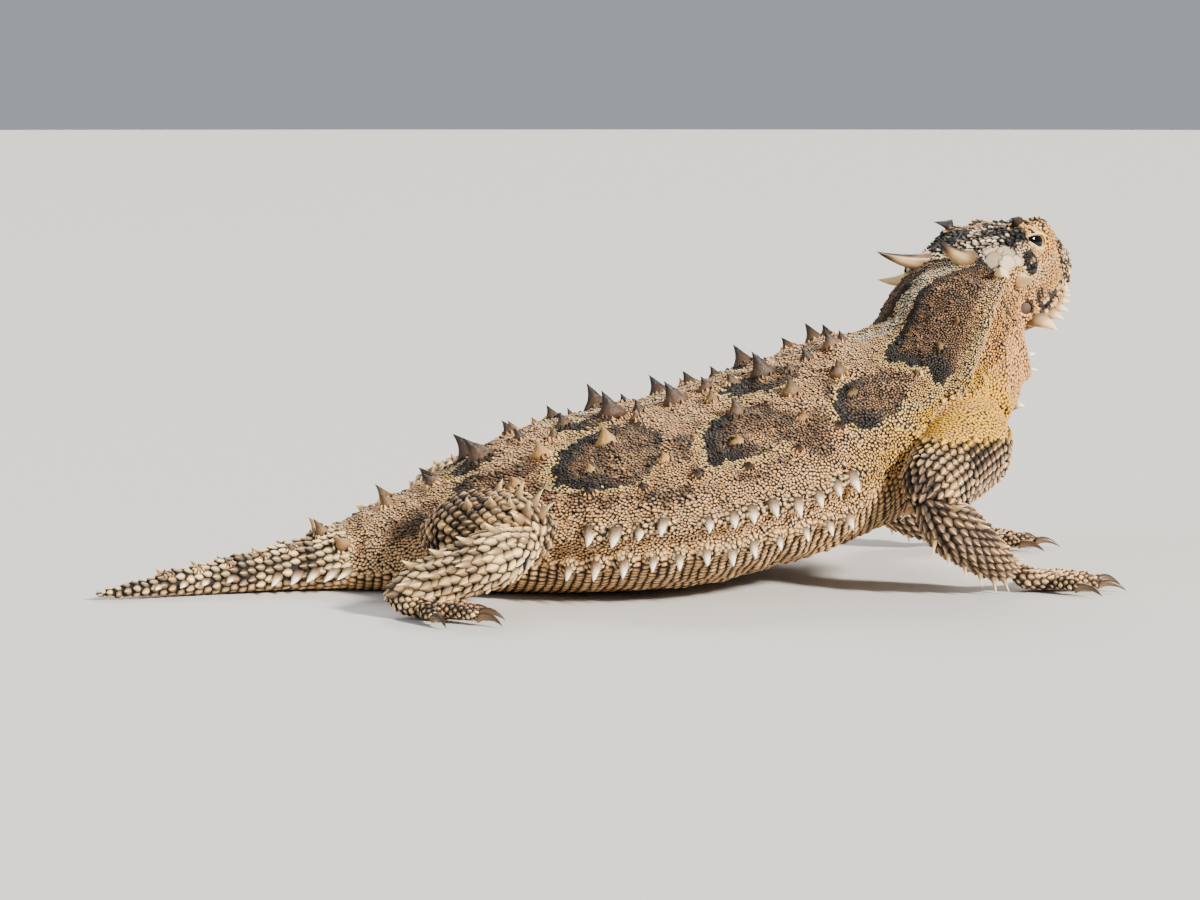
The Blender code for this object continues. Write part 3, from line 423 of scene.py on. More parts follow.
def smoothed(points, quads, strength):
    """Each point moved towards the mean of the points that share an edge with it, by its strength."""
    ends = np.concatenate([quads, np.roll(quads, 1, axis=1)]).ravel()
    others = np.concatenate([np.roll(quads, -1, axis=1), quads]).ravel()
    count = np.bincount(ends, minlength=len(points))[:, None]
    total = np.stack([np.bincount(ends, points[others, k], len(points)) for k in range(3)], axis=1)
    return points + strength[:, None] * (total / np.maximum(count, 1) - points)


def nearest_loft(points):
    """Number of the loft point nearest each point."""
    return np.array([loft_tree.find(point)[1] for point in points])


def ridge(points, line, width):
    """How near points are to a line through given points: exp of minus squared distance over width."""
    line = np.asarray(line, float)
    fine = follow(line, np.linspace(0, len(line) - 1, 12 * len(line)))
    nearest = np.full(len(points), 1e9)
    for spot in fine:
        nearest = np.minimum(nearest, ((points - spot) ** 2).sum(axis=1))
    return np.exp(-nearest / width**2)


def grain(points, size, seed):
    """Soft noise from 0 to 1: random values on a lattice of the given size, blended between its corners."""
    spot = np.asarray(points) / size + 50.0
    cell = np.floor(spot).astype(np.int64)
    t = spot - cell
    t = t * t * (3 - 2 * t)
    total = np.zeros(len(spot))
    for corner in np.ndindex(2, 2, 2):
        key = (cell + corner) @ np.array([73856093, 19349663, 83492791]) + seed * 7919
        key = (key ^ (key >> 13)) * 1274126177 & 0x7FFFFFFF
        value = ((key ^ (key >> 16)) & 0xFFFF) / 65535.0
        total += value * np.prod(np.where(corner, t, 1 - t), axis=1)
    return total


def on_body(chart):
    """Body points for rows of section number and degrees down the right side from the middle of the back."""
    place, down = np.array(chart, float).T
    return body_points(place, np.radians(90 + down))


hide, hide_quads = fused(loft_points, lofts.faces, HIDE_VOXEL)
hide_loft = nearest_loft(hide)
hide_part = loft_part[hide_loft]
on_toe = np.char.find(hide_part.astype(str), "toe") >= 0
strength = np.where(on_toe, TOE_SMOOTHING, np.where(hide_part == "head", HEAD_SMOOTHING, BODY_SMOOTHING))
for _ in range(SMOOTHING_STEPS):
    hide = smoothed(hide, hide_quads, strength)
if np.einsum("ij,ij->i", vertex_normals(hide, hide_quads), hide - loft_points[hide_loft]).mean() < -0.5:
    hide_quads = hide_quads[:, ::-1]

# The rows of thorns, as the solids have them: each row's first and last section, degrees above the widest line,
# spacing, height, foot radius, and its lean back, out and down. The hide swells at the foot of each.
SEED = 7
SECTION_ENDS = ((0.0, 3.174), (3.226, 5.974), (6.026, 11.974), (12.026, 16.974), (17.0, 19.7))
TALL_SPINES = (
    (4.8, 2.3), (5.85, 2.4), (6.7, 2.2), (7.6, 1.7), (8.5, 3.0), (9.3, 1.7), (10.2, 1.7), (11.15, 3.1),
    (11.7, 1.5), (12.45, 2.9), (13.1, 1.7), (13.6, 1.4), (14.2, 2.8), (15.3, 1.7), (16.1, 2.3), (16.7, 1.6),
)
TALL_SPINE_ANGLE = 75
TALL_SPINE_LEAN = (0.25, 0.0, 0.0)
SPINE_ROWS = (
    (7.1, 16.0, 55, 1.25, 2.2, 1.0, 0.35, 0.0, -0.45),
    (9.0, 16.0, 42, 1.40, 1.3, 0.8, 0.3, 0.1, -0.3),
    (10.3, 15.6, 30, 1.00, 1.0, 0.75, 0.2, 0.1, 0.0),
    (9.9, 15.8, 68, 1.60, 1.2, 0.7, 0.3, 0.0, -0.3),
    (9.8, 15.8, 7, 0.43, 2.5, 0.85, 0.1, 0.25, 1.1),
    (9.8, 15.5, -14, 0.50, 2.1, 0.7, 0.1, 0.2, 1.1),
    (1.4, 3.3, 4, 0.45, 1.3, 0.55, 0.6, 0.3, 0.4),
    (3.65, 6.8, -3, 0.44, 2.3, 0.7, 0.6, 0.3, 0.5),
    (1.6, 4.0, 60, 0.60, 0.9, 0.5, 0.8, 0.0, 0.0),
    (5.3, 8.4, 36, 0.90, 2.1, 1.0, 0.6, 0.1, -0.3),
    (17.6, 19.4, 30, 0.60, 0.9, 0.6, 0.5, 0.0, 0.1),
)
TALL_ROW, KNOB_ROW, FRINGE_ROWS, TAIL_FRINGE_ROWS, TAIL_TOP_ROW, NECK_ROW = -1, 2, (4, 5), (6, 7), 8, 10
THROAT_SPINES = ((20.0, -52, 1.5, 0.7), (20.0, -66, 1.4, 0.65), (19.4, -58, 1.2, 0.6), (18.6, -72, 1.2, 0.6))


def near_limb(point, reach):
    """Whether a point lies within reach of a right limb's surface or its mirror's."""
    for table in (THIGH, SHANK, UPPER_ARM, FOREARM):
        rows = follow(table, np.linspace(0, len(table) - 1, 30))
        for mirror in (1, -1):
            away = np.linalg.norm(rows[:, :3] * (1, mirror, 1) - point, axis=1) - rows[:, 3:5].max(axis=1)
            if away.min() < reach:
                return True
    return False


def body_thorns(draw):
    """The rows of thorns as the solids place them: row, foot, way out, way back, tip, foot radius, height."""
    rows = [(TALL_ROW, place, TALL_SPINE_ANGLE, height, 0.35 + 0.28 * height, TALL_SPINE_LEAN)
            for place, height in TALL_SPINES]
    for row, (first, last, up, spacing, height, radius, *lean) in enumerate(SPINE_ROWS):
        for number in range(int((last - first) / spacing) + 1):
            rows.append((row, first + number * spacing, up, height, radius, lean))
    found = []
    for start, stop in SECTION_ENDS:
        for row, place, up, height, radius, (back, out, down) in rows:
            for mirror in (1, -1):
                moved = place + 0.05 * draw.uniform(-1, 1)
                if not start + 0.12 < moved < stop - 0.12:
                    continue
                turn, growth = draw.uniform(-1, 1, 2)
                size = 1 + 0.15 * growth
                angle = math.radians(up + 1.5 * turn)
                angle = angle if mirror > 0 else math.pi - angle
                spot, outward, rearward = (v[0] for v in body_spots(np.array([moved]), np.array([angle])))
                if near_limb(spot, 1.2 * height):
                    continue
                way = outward + back * rearward + np.array([0.0, out * mirror, -down])
                tip = spot + way * height * size / np.linalg.norm(way)
                tip[2] = max(tip[2], 0.2)
                found.append((row, spot, outward, rearward, tip, radius * size, height * size))
    return found


thorns = body_thorns(np.random.default_rng(SEED))
thorn_spots = [(spot, radius) for row, spot, outward, rearward, tip, radius, height in thorns]


# Folds of loose skin: along the flank between the two fringes, the pale rope down the side of the neck, the
# loops of the throat, and the creases before the shoulder. Each is a line on the chart, a width and a rise.
NECK_ROPE = ((20.0, 70), (19.5, 73), (18.9, 79), (18.5, 84), (18.1, 88), (17.7, 92))
PLEATS = (((17.9, 84), (17.5, 80), (17.1, 74), (16.8, 70)), ((16.9, 78), (17.1, 86), (17.0, 94), (16.6, 101)))
FOLDS = (
    (((9.6, 86), (11, 85), (12.5, 86), (14, 86), (15.9, 86)), 1.2, 0.5),
    (((9.6, 96), (11, 97), (12.5, 96), (14, 95), (15.9, 95)), 1.1, -0.55),
    (((9.8, 107), (11, 109), (12.5, 106), (14, 104), (15.7, 103)), 1.1, 0.35),
    (NECK_ROPE, 0.80, 1.80),
    (((20.1, 76), (19.6, 79), (19.1, 84), (18.6, 90), (18.2, 94)), 0.65, -0.75),
    (((19.8, 67), (19.3, 69), (18.7, 74), (18.2, 80), (17.8, 85)), 0.70, -0.50),
    (PLEATS[0], 0.8, 0.45),
    (((18.9, 96), (18.7, 108), (18.4, 118), (18.2, 130)), 0.8, 1.1),
    (((18.5, 96), (18.3, 108), (18.0, 118), (17.9, 130)), 0.7, -0.8),
    (((18.1, 92), (17.9, 104), (17.6, 116)), 0.8, 0.9),
    (((19.6, 100), (19.4, 115), (19.2, 130), (19.1, 150)), 0.9, 0.8),
    (PLEATS[1], 0.8, 0.6),
    (((16.4, 76), (16.5, 84), (16.4, 92), (16.1, 99)), 0.7, -0.4),
    (((16.1, 74), (16.1, 82), (15.9, 90)), 0.7, 0.5),
)
# The swelling at a thorn's foot: under the fringes, under the small rows, and under the others, where it grows
# with the thorn. Lumps cover trunk and neck above LUMPS_ABOVE: each has a size, a height and a seed.
FRINGE_SWELL, SMALL_SWELL, LEAST_SWELL, SWELL_BY_HEIGHT = 0.34, 0.10, 0.16, 0.10
LUMPS_ABOVE = 1.5
LUMPS = ((2.0, 0.62, 31), (1.0, 0.30, 32))

hide_out = vertex_normals(hide, hide_quads)
fold_rise = np.zeros(len(hide))
on_trunk = hide_part == "body"
for chart, width, rise in FOLDS:
    for mirror in (1, -1):
        line = on_body([(place, mirror * down) for place, down in chart])
        fold_rise[on_trunk] += rise * ridge(hide[on_trunk], line, width)
for row, spot, outward, rearward, tip, radius, height in thorns:
    if row in FRINGE_ROWS:
        swell, reach = FRINGE_SWELL, 1.15 * radius
    elif row in (*TAIL_FRINGE_ROWS, TAIL_TOP_ROW, NECK_ROW):
        swell, reach = SMALL_SWELL, radius
    else:
        swell, reach = LEAST_SWELL + SWELL_BY_HEIGHT * height, 1.25 * radius
    fold_rise += swell * np.exp(-((hide - spot) ** 2).sum(axis=1) / reach**2)
soft = on_trunk & (hide[:, 2] > LUMPS_ABOVE)
fold_rise[soft] += sum(rise * (grain(hide[soft], size, seed) - 0.5) for size, rise, seed in LUMPS)
hide = hide + hide_out * fold_rise[:, None]

# Openings and lines of the head: the mouth's groove, the ears, the nostrils and the hollows round the eyes. A
# swelling or dent is its middle, its reach, its rise and the power by which it fades.
MOUTH_CORNER_X, MOUTH_FRONT_X = 7.0, 21.3
MOUTH_Z_REAR, MOUTH_Z_FRONT = -5.0, -4.0
GROOVE_DEPTH, GROOVE_WIDTH = 0.35, 0.28
EAR_CENTRE, EAR_RADIUS, EAR_FACES = (4.5, 7.35, -4.1), 0.85, (-0.5, 0.85, 0.12)
NOSTRIL_CENTRE = (18.9, 2.2, 1.0)
TEMPLE_SWELLS = (((1.9, 7.2, 3.2), 1.1, 0.45, 4), ((6.5, 7.6, 1.1), 1.3, 0.2, 4))
DENTS = ((EAR_CENTRE, EAR_RADIUS, -0.5, 6), (NOSTRIL_CENTRE, 0.5, -0.5, 4), (EYE_CENTRE, 2.55, -1.7, 6))
HIDE_CLEARANCE = 0.12


def mouth_level(x):
    """Height of the mouth's line at places along the head: straight from the corner to the front."""
    share = np.clip((x - MOUTH_CORNER_X) / (MOUTH_FRONT_X - MOUTH_CORNER_X), 0, 1)
    return MOUTH_Z_REAR + (MOUTH_Z_FRONT - MOUTH_Z_REAR) * share


def faded(points, spot, mirror, reach, rise, power):
    """A swelling's rise at points of the head's frame."""
    return rise * np.exp(-((np.linalg.norm(points - beside(spot, mirror), axis=1) / reach) ** power))


headed = hide_part == "head"
local = to_head(hide[headed])
for mirror in (1, -1):
    for spot, *form in TEMPLE_SWELLS:
        lift = faded(local, spot, mirror, *form)
        hide[headed] += vertex_normals(hide, hide_quads)[headed] * lift[:, None]
off_mouth = (local[:, 2] - mouth_level(local[:, 0])) / GROOVE_WIDTH
sunk = -GROOVE_DEPTH * np.exp(-(off_mouth**2)) * (local[:, 0] > MOUTH_CORNER_X)
for mirror in (1, -1):
    for spot, *form in DENTS:
        sunk += faded(local, spot, mirror, *form)
hide[headed] += vertex_normals(hide, hide_quads)[headed] * sunk[:, None]
hide[:, 2] = np.maximum(hide[:, 2], HIDE_CLEARANCE)
hide_out = vertex_normals(hide, hide_quads)
hide_bvh = BVHTree.FromPolygons(hide.tolist(), hide_quads.tolist())


def snapped(points, reach=2.0):
    """The nearest places on the hide to some points, the hide's smooth normals there and how far they were."""
    place, out, away = np.array(points, float), np.zeros((len(points), 3)), np.full(len(points), 99.0)
    for number, point in enumerate(points):
        spot, normal, face, distance = hide_bvh.find_nearest(point, reach)
        if spot is not None:
            place[number], away[number] = spot, distance
            out[number] = hide_out[hide_quads[face]].sum(axis=0)
    return place, unit(out), away


SMALL_PARTS = [name for name in dict.fromkeys(lofts.part) if name not in ("body", "head")]


def part_box(name):
    """The rectangle that a part of the hide takes in the unwrap: the trunk across the lower half, the head
    above it, and limbs and toes in a grid beside the head."""
    if name == "body":
        return 0.01, 0.01, 0.97, 0.48
    if name == "head":
        return 0.01, 0.51, 0.38, 0.47
    row, column = divmod(SMALL_PARTS.index(name), 5)
    return 0.41 + 0.115 * column, 0.51 + 0.066 * row, 0.108, 0.06


part_boxes = {name: part_box(name) for name in ["body", "head"] + SMALL_PARTS}
loft_box = np.array([part_boxes[name] for name in lofts.part])


def unwrap(points):
    """Where points of the hide lie in its unwrap: their part's rectangle at their share along and round it."""
    near = nearest_loft(points)
    left, base, wide, tall = loft_box[near].T
    around = np.mod(loft_turn[near] / (2 * np.pi) + 0.25, 1.0)
    return np.stack([left + wide * loft_share[near], base + tall * around], axis=1)


# Markings. The back is grey brown with a cream line along its middle, dark blotches with pale rear rims, a
# yellow shoulder and a cream belly. They are worked out once and shared by scales and hide. Colours are as
# the eye sees them. A blotch is how far it fades forwards and its outline, in rows of section number and
# degrees down from the middle of the back.
BLOTCHES = (
    (0.2, ((17.2, 42), (17.8, 30), (18.3, 22), (18.9, 20), (19.6, 25), (20.5, 38), (20.2, 58), (19.5, 71),
           (18.8, 78), (18.2, 84), (17.8, 79), (17.8, 64), (17.5, 49))),
    (0.3, ((13.2, 20), (13.6, 15), (14.2, 13), (14.9, 18), (14.9, 27), (14.2, 28), (13.6, 25))),
    (0.3, ((10.0, 18), (10.5, 13), (11.1, 9), (11.4, 14), (10.9, 20), (10.4, 22))),
    (0.3, ((7.9, 15), (8.2, 8), (8.7, 8), (8.9, 16), (8.5, 23), (8.1, 24))),
    (0.75, ((12.5, 47), (12.7, 38), (13.2, 32), (13.9, 34), (14.4, 46), (14.2, 55), (13.3, 58), (12.6, 56))),
    (0.7, ((15.3, 50), (15.7, 43), (16.7, 44), (17.3, 58), (17.2, 68), (16.8, 72), (16.1, 68), (15.5, 60))),
    (0.55, ((9.7, 44), (10.0, 34), (10.6, 25), (11.4, 22), (11.9, 32), (11.8, 46), (11.2, 60), (10.3, 60),
            (9.7, 54))),
    (0.6, ((7.9, 33), (8.3, 28), (8.8, 38), (8.8, 50), (8.1, 52), (7.8, 41))),
)
SECTION_MM, DEGREE_MM = 6.0, 0.3
BACK_GREY, BACK_TAN, BACK_DARK = (0.64, 0.545, 0.435), (0.82, 0.71, 0.565), (0.33, 0.27, 0.205)
BLOTCH_BROWN, BLOTCH_EDGE, RIM_CREAM = (0.36, 0.295, 0.225), (0.15, 0.12, 0.095), (0.98, 0.87, 0.64)
STRIPE_CREAM, SHOULDER_YELLOW, FLANK_CREAM = (0.95, 0.90, 0.79), (1.0, 0.83, 0.36), (0.96, 0.82, 0.64)
BELLY_CREAM, THROAT_CREAM, SPINE_TAN = (0.90, 0.77, 0.59), (0.90, 0.72, 0.50), (0.80, 0.62, 0.42)
PLEAT_CREAM, ROPE_CREAM = (0.95, 0.86, 0.69), (0.98, 0.86, 0.67)
TAIL_TAN, TAIL_BROWN = (1.0, 0.90, 0.73), (0.52, 0.43, 0.33)


def blend(base, over, share):
    """Colours over a base, by a share from 0 to 1."""
    share = np.clip(share, 0, 1)[:, None]
    return np.asarray(base) * (1 - share) + np.asarray(over) * share


def layered(colour, *layers):
    """Colours with layers laid over them in turn, each a colour and its share from 0 to 1."""
    for over, share in layers:
        colour = blend(colour, over, share)
    return colour


def ramp(value, low, high):
    """Smooth step from 0 at low to 1 at high: 3 t squared less 2 t cubed."""
    t = np.clip((value - low) / (high - low), 0, 1)
    return t * t * (3 - 2 * t)


def outline_depth(flat, outline):
    """How far points are inside a closed outline (below 0) or outside it, and the way from its middle."""
    corner = np.array(outline, float) * (SECTION_MM, DEGREE_MM)
    ahead = np.roll(corner, -1, axis=0)
    nearest, inside = np.full(len(flat), 1e9), np.zeros(len(flat), bool)
    for a, b in zip(corner, ahead):
        run = b - a
        t = np.clip(((flat - a) @ run) / (run @ run), 0, 1)
        nearest = np.minimum(nearest, np.linalg.norm(flat - a - t[:, None] * run, axis=1))
        crosses = ((a[1] > flat[:, 1]) != (b[1] > flat[:, 1]))
        slope = run[0] / (run[1] if abs(run[1]) > 1e-9 else 1e-9)
        inside ^= crosses & (flat[:, 0] < a[0] + (flat[:, 1] - a[1]) * slope)
    return np.where(inside, -nearest, nearest), unit(flat - corner.mean(axis=0))


def stripe_turn(place):
    """Degrees down the right side at which the cream line lies: on the ridge, then round the turned neck."""
    return np.interp(place, (15.5, 16.5, 17.3, 18.0, 18.8, 19.4, 20.4), (3, 6, 11, 14, 12, 13, 18))


def chart_of(points):
    """Section number and degrees down from the cream line for points on the trunk, alike on both sides."""
    near = nearest_loft(points)
    place = loft_share[near] * NECK_END
    down = np.degrees(np.mod(loft_turn[near] - np.pi / 2 + np.pi, 2 * np.pi) - np.pi)
    middle = stripe_turn(place)
    left = middle + (middle - down) * (180 - middle) / (180 + middle)
    return place, np.where(down >= middle, down, left), down - middle


def body_colour(points, draw):
    """Colours of the trunk, neck and tail: grounds by section and height, then blotches, rims and the line."""
    place, down, from_line = chart_of(points)
    wobble = grain(points, 1.3, 3) - 0.5
    patch, speck = grain(points, 4.5, 1), draw.random(len(points))
    near_spine = np.full(len(points), 9.0)
    for spot, size in thorn_spots:
        near_spine = np.minimum(near_spine, np.linalg.norm(points - spot, axis=1) / size)
    colour = layered(
        BACK_GREY,
        (BACK_TAN, ramp(patch + 0.25 * wobble, 0.25, 0.8)),
        (BACK_DARK, 0.8 * ramp(grain(points, 2.6, 5), 0.42, 0.72) * ramp(down, 26, 40)),
        (BACK_DARK, 0.52 * ramp(down, 28, 40) * (1 - ramp(down, 68, 82))),
        (FLANK_CREAM, 0.95 * ramp(down, 66, 82) * ramp(grain(points, 2.0, 9), 0.25, 0.6)),
        (SPINE_TAN, 0.55 * (1 - ramp(near_spine, 1.0, 2.0)) * (down < 80)),
        (SHOULDER_YELLOW, 0.45 * ramp(place, 14.6, 16.4) * ramp(down, 66, 84)),
        (PLEAT_CREAM, 0.8 * sum(ridge(points, on_body(pleat), 0.8) for pleat in PLEATS)))

    flat = np.stack([place * SECTION_MM, down * DEGREE_MM], axis=1)
    flat = flat + 0.9 * np.stack([wobble, grain(points, 1.1, 4) - 0.5], axis=1)
    for fade, outline in BLOTCHES:
        depth, way = outline_depth(flat, outline)
        rear = ramp(way @ np.array([-0.8, 0.6]), -0.55, 0.1)
        front = ramp(way[:, 0], -0.5, 0.8)
        inner = blend(BLOTCH_EDGE, BLOTCH_BROWN, ramp(-depth, 0.2, 3.0) + 0.6 * front * fade)
        colour = layered(
            colour,
            (RIM_CREAM, rear * ramp(depth, -0.1, 0.1) * (1 - ramp(depth, 0.8, 1.15))),
            (inner, (depth < 0) * (1 - 0.8 * fade * front * (0.4 + 0.6 * ramp(patch, 0.3, 0.6)))))

    belly = ramp(down, 93, 106)
    yellow = ramp(place, 16.6, 17.3) * (1 - ramp(place, 18.3, 19.0)) * ramp(down, 80, 90)
    cheek = ramp(place, 18.3, 18.7) * ramp(down, 74, 80)
    ropes = (on_body([(a, mirror * b) for a, b in NECK_ROPE]) for mirror in (1, -1))
    rope = np.maximum(*(ridge(points, line, 1.1) for line in ropes))
    banded = layered(
        TAIL_TAN,
        (TAIL_BROWN, 0.8 * ramp(np.sin(place * 4.4 + 1.0), 0.2, 0.8)),
        (TAIL_BROWN, 0.5 * ramp(grain(points, 1.8, 33), 0.55, 0.75)))
    stripe_scale = np.interp(place, (0, 4, 8, 12, 17, 21), (0.18, 0.22, 0.7, 1.15, 0.8, 0.5))
    across = np.abs(from_line * DEGREE_MM * stripe_scale + 0.35 * wobble)
    forward = ramp(place, 16, 18)
    line = 1 - ramp(across, 0.42 + 0.75 * forward, 0.62 + 0.9 * forward)
    colour = layered(
        colour,
        (BELLY_CREAM, belly),
        (THROAT_CREAM, belly * ramp(place, 18.4, 19.4)),
        (SHOULDER_YELLOW, 0.95 * yellow * (1 - 0.5 * ramp(down, 130, 160))),
        (THROAT_CREAM, 0.8 * cheek),
        (BLOTCH_EDGE, 0.8 * cheek * ramp(grain(points, 1.7, 12), 0.66, 0.76) * (down < 104)),
        (ROPE_CREAM, 1.4 * rope),
        (banded, (1 - ramp(place, 5.2, 7.0)) * (1 - 0.7 * ramp(down, 95, 115))),
        (STRIPE_CREAM, line * ramp(place, 3.0, 6.0) * (1 - ramp(place, 20.6, 20.9))))
    return colour * (0.72 + 0.36 * speck + 0.24 * grain(points, 0.9, 35))[:, None]


LIMB_GROUNDS = {"thigh": (0.93, 0.80, 0.62), "shank": (1.0, 0.89, 0.71), "arm": (0.80, 0.69, 0.55),
                "forearm": (0.62, 0.52, 0.41), "foot": (0.93, 0.81, 0.64)}
LIMB_BAND, LIMB_PATCH = (0.42, 0.335, 0.26), (0.54, 0.44, 0.34)


def limb_colour(points, share, out, draw, kind):
    """Colours of a limb: cream scales with brown bands across its upper side, paler beneath."""
    speck = draw.random(len(points))
    bands = ramp(np.sin(share * (15 if kind != "foot" else 9) + 2.5 * grain(points, 3.0, 8)), 0.1, 0.75)
    strong = 0.9 if kind in ("arm", "forearm") else 0.55
    colour = layered(
        LIMB_GROUNDS[kind],
        (LIMB_BAND, strong * bands * ramp(out[:, 2], -0.5, 0.3)),
        (LIMB_PATCH, 0.45 * ramp(grain(points, 2.0, 6), 0.5, 0.8)))
    if kind == "arm":
        height = points[:, 2]
        colour = layered(
            colour,
            (SHOULDER_YELLOW, 0.95 * ramp(height, 16.8, 18.8)),
            (THROAT_CREAM, 0.6 * ramp(grain(points, 1.8, 51), 0.5, 0.75) * ramp(height, 17, 19)))
    return colour * (0.82 + 0.32 * speck)[:, None]


CHEEK_TAN, CHEEK_SHADE, JAW_TAN = (0.92, 0.76, 0.55), (0.74, 0.57, 0.39), (0.90, 0.71, 0.48)
CROWN_WHITE, CROWN_BROWN, CROWN_BLACK = (0.90, 0.85, 0.77), (0.55, 0.45, 0.37), (0.13, 0.10, 0.08)
SNOUT_WHITE, SNOUT_BROWN, LID_CREAM = (0.92, 0.85, 0.74), (0.26, 0.20, 0.16), (0.97, 0.85, 0.60)
BROW_ORANGE, BROW_BLACK, BAR_BLACK = (1.0, 0.80, 0.50), (0.12, 0.09, 0.07), (0.13, 0.09, 0.065)
TEMPLE_CREAM, TEMPLE_BLACK, PLATE_WHITE = (0.94, 0.84, 0.68), (0.15, 0.09, 0.07), (0.93, 0.88, 0.80)
PLATE_REAR, PLATE_FRONT, STREAK_BROWN = (0.20, 0.15, 0.12), (0.22, 0.16, 0.13), (0.16, 0.10, 0.07)
# Each streak of the cheek: x, z, and its reach along them.
CHEEK_STREAKS = ((6.9, -3.5, 0.35, 0.9), (7.8, -3.0, 0.28, 0.6), (9.6, -4.0, 0.25, 0.5))


def head_colour(points, draw):
    """Colours of the head in its own frame: a black and white crown, an orange brow with upright dark bars, a
    dark patch and a pale plate on the temple, and a tan cheek with a few dark streaks."""
    x, y, z = to_head(points).T
    side = np.abs(y)
    speck, second = draw.random(len(points)), draw.random(len(points))

    def off(spot_x, spot_side, spot_z, flatness):
        """How far points are from a place on either side, with steps sideways made smaller."""
        return np.linalg.norm(np.stack([x - spot_x, (side - spot_side) * flatness, z - spot_z], axis=1), axis=1)

    top, snout = ramp(z + 0.25 * side, 3.2, 4.6), ramp(x, 14.5, 17.0)
    dark = (grain(points, 1.5, 17) + 0.35 * (speck - 0.5) > 0.49) & (top > 0.35)
    spots = (grain(points, 1.0, 18) + 0.3 * (second - 0.5) > 0.68) & (snout > 0.4) & (z > -3.6)
    brow = np.exp(-(((x - 12.0) / 4.0) ** 6) - (((z - 3.9) / 3.1) ** 6)) * ramp(side, 2.2, 3.4)
    rear = np.exp(-(((x - 6.9) / 1.3) ** 4) - (((z - 5.4) / 1.7) ** 4)) * ramp(side, 2.5, 4.0)
    temple = off(6.5, 7.6, 1.1, 0.5)
    lids = off(EYE_CENTRE[0], EYE_CENTRE[1], EYE_CENTRE[2] + 0.2, 1.0) < 2.75
    bars = ramp(np.sin((x - 0.3 * (side - 5)) * 5.0), 0.35, 0.7) * ramp(z, 3.6, 4.2) * ramp(side, 2.4, 3.0)
    colour = layered(
        CHEEK_TAN,
        (CHEEK_SHADE, 0.6 * ramp(grain(points, 1.6, 15), 0.5, 0.75)),
        (CROWN_WHITE, top),
        (CROWN_BROWN, top * ramp(grain(points, 1.1, 16), 0.45, 0.65)),
        (CROWN_BLACK, 1.0 * dark),
        (SNOUT_WHITE, 0.85 * snout),
        (SNOUT_BROWN, 1.0 * spots),
        (BROW_ORANGE, 1.4 * brow),
        (BROW_BLACK, 1.1 * rear * (second < 0.85)),
        (TEMPLE_CREAM, 0.8 * (1 - ramp(temple, 2.0, 3.2))),
        (TEMPLE_BLACK, (1 - ramp(temple, 1.35, 1.7)) * ramp(temple, 0.35, 0.6)),
        (PLATE_REAR, 0.85 * (1 - ramp(off(-0.2, 6.4, 3.4, 0.5), 0.9, 1.5))),
        (PLATE_FRONT, 0.85 * (1 - ramp(off(3.9, 7.4, 3.0, 0.4), 0.8, 1.3))),
        (PLATE_WHITE, 1 - ramp(off(1.9, 7.2, 3.2, 0.5), 1.35, 1.65)),
        (LID_CREAM, (1 - ramp(np.abs(z - EYE_CENTRE[2]), 1.3, 2.1)) * lids),
        (BAR_BLACK, 1.3 * bars * ramp(x, 8.0, 9.0) * (1 - ramp(x, 15.0, 16.0))),
        (JAW_TAN, 0.7 * ramp(-z, 0.6, 2.2) * (1 - ramp(x, 12.5, 15))))
    for streak_x, streak_z, wide, tall in CHEEK_STREAKS:
        streak = np.exp(-(((x - streak_x) / wide) ** 2) - (((z - streak_z) / tall) ** 2)) * (side > 5)
        colour = blend(colour, STREAK_BROWN, 1.5 * streak)
    return colour * (0.80 + 0.36 * second)[:, None]


RICHNESS, DEPTH = 0.97, 1.6


def seen(colour):
    """Colours as the eye sees them in the light units that the renderer mixes: each is first drawn away from
    its own grey, brought within white without a change of hue and darkened by a power, then put through the
    display's curve."""
    grey = colour.mean(axis=-1, keepdims=True)
    colour = np.maximum(grey + RICHNESS * (colour - grey), 0.002)
    colour = (colour / np.maximum(colour.max(axis=-1, keepdims=True), 1)) ** DEPTH
    return np.where(colour <= 0.04045, colour / 12.92, ((colour + 0.055) / 1.055) ** 2.4)


class Wire:
    """A value in a material: arithmetic on it adds Math nodes, and node() adds any other node."""

    def __init__(self, tree, socket=None):
        self.tree, self.socket = tree, socket

    def node(self, kind, output, inputs=None, **settings):
        """Add a node with its settings, feed its inputs by name, and give the wanted output."""
        made = self.tree.nodes.new(kind)
        for key, value in settings.items():
            setattr(made, key, value)
        for key, value in (inputs or {}).items():
            self.feed(made.inputs[key], value)
        return Wire(self.tree, made.outputs[output])

    def feed(self, socket, value):
        """Link a wire to a socket, or set a number or colour on it."""
        if isinstance(value, Wire):
            self.tree.links.new(value.socket, socket)
        else:
            socket.default_value = value

    def math(self, operation, first, second):
        """One Math node."""
        return self.node("ShaderNodeMath", 0, {0: first, 1: second}, operation=operation)

    def __add__(self, other):
        return self.math("ADD", self, other)

    def __radd__(self, other):
        return self.math("ADD", other, self)

    def __sub__(self, other):
        return self.math("SUBTRACT", self, other)

    def __rsub__(self, other):
        return self.math("SUBTRACT", other, self)

    def __mul__(self, other):
        return self.math("MULTIPLY", self, other)

    def __rmul__(self, other):
        return self.math("MULTIPLY", other, self)


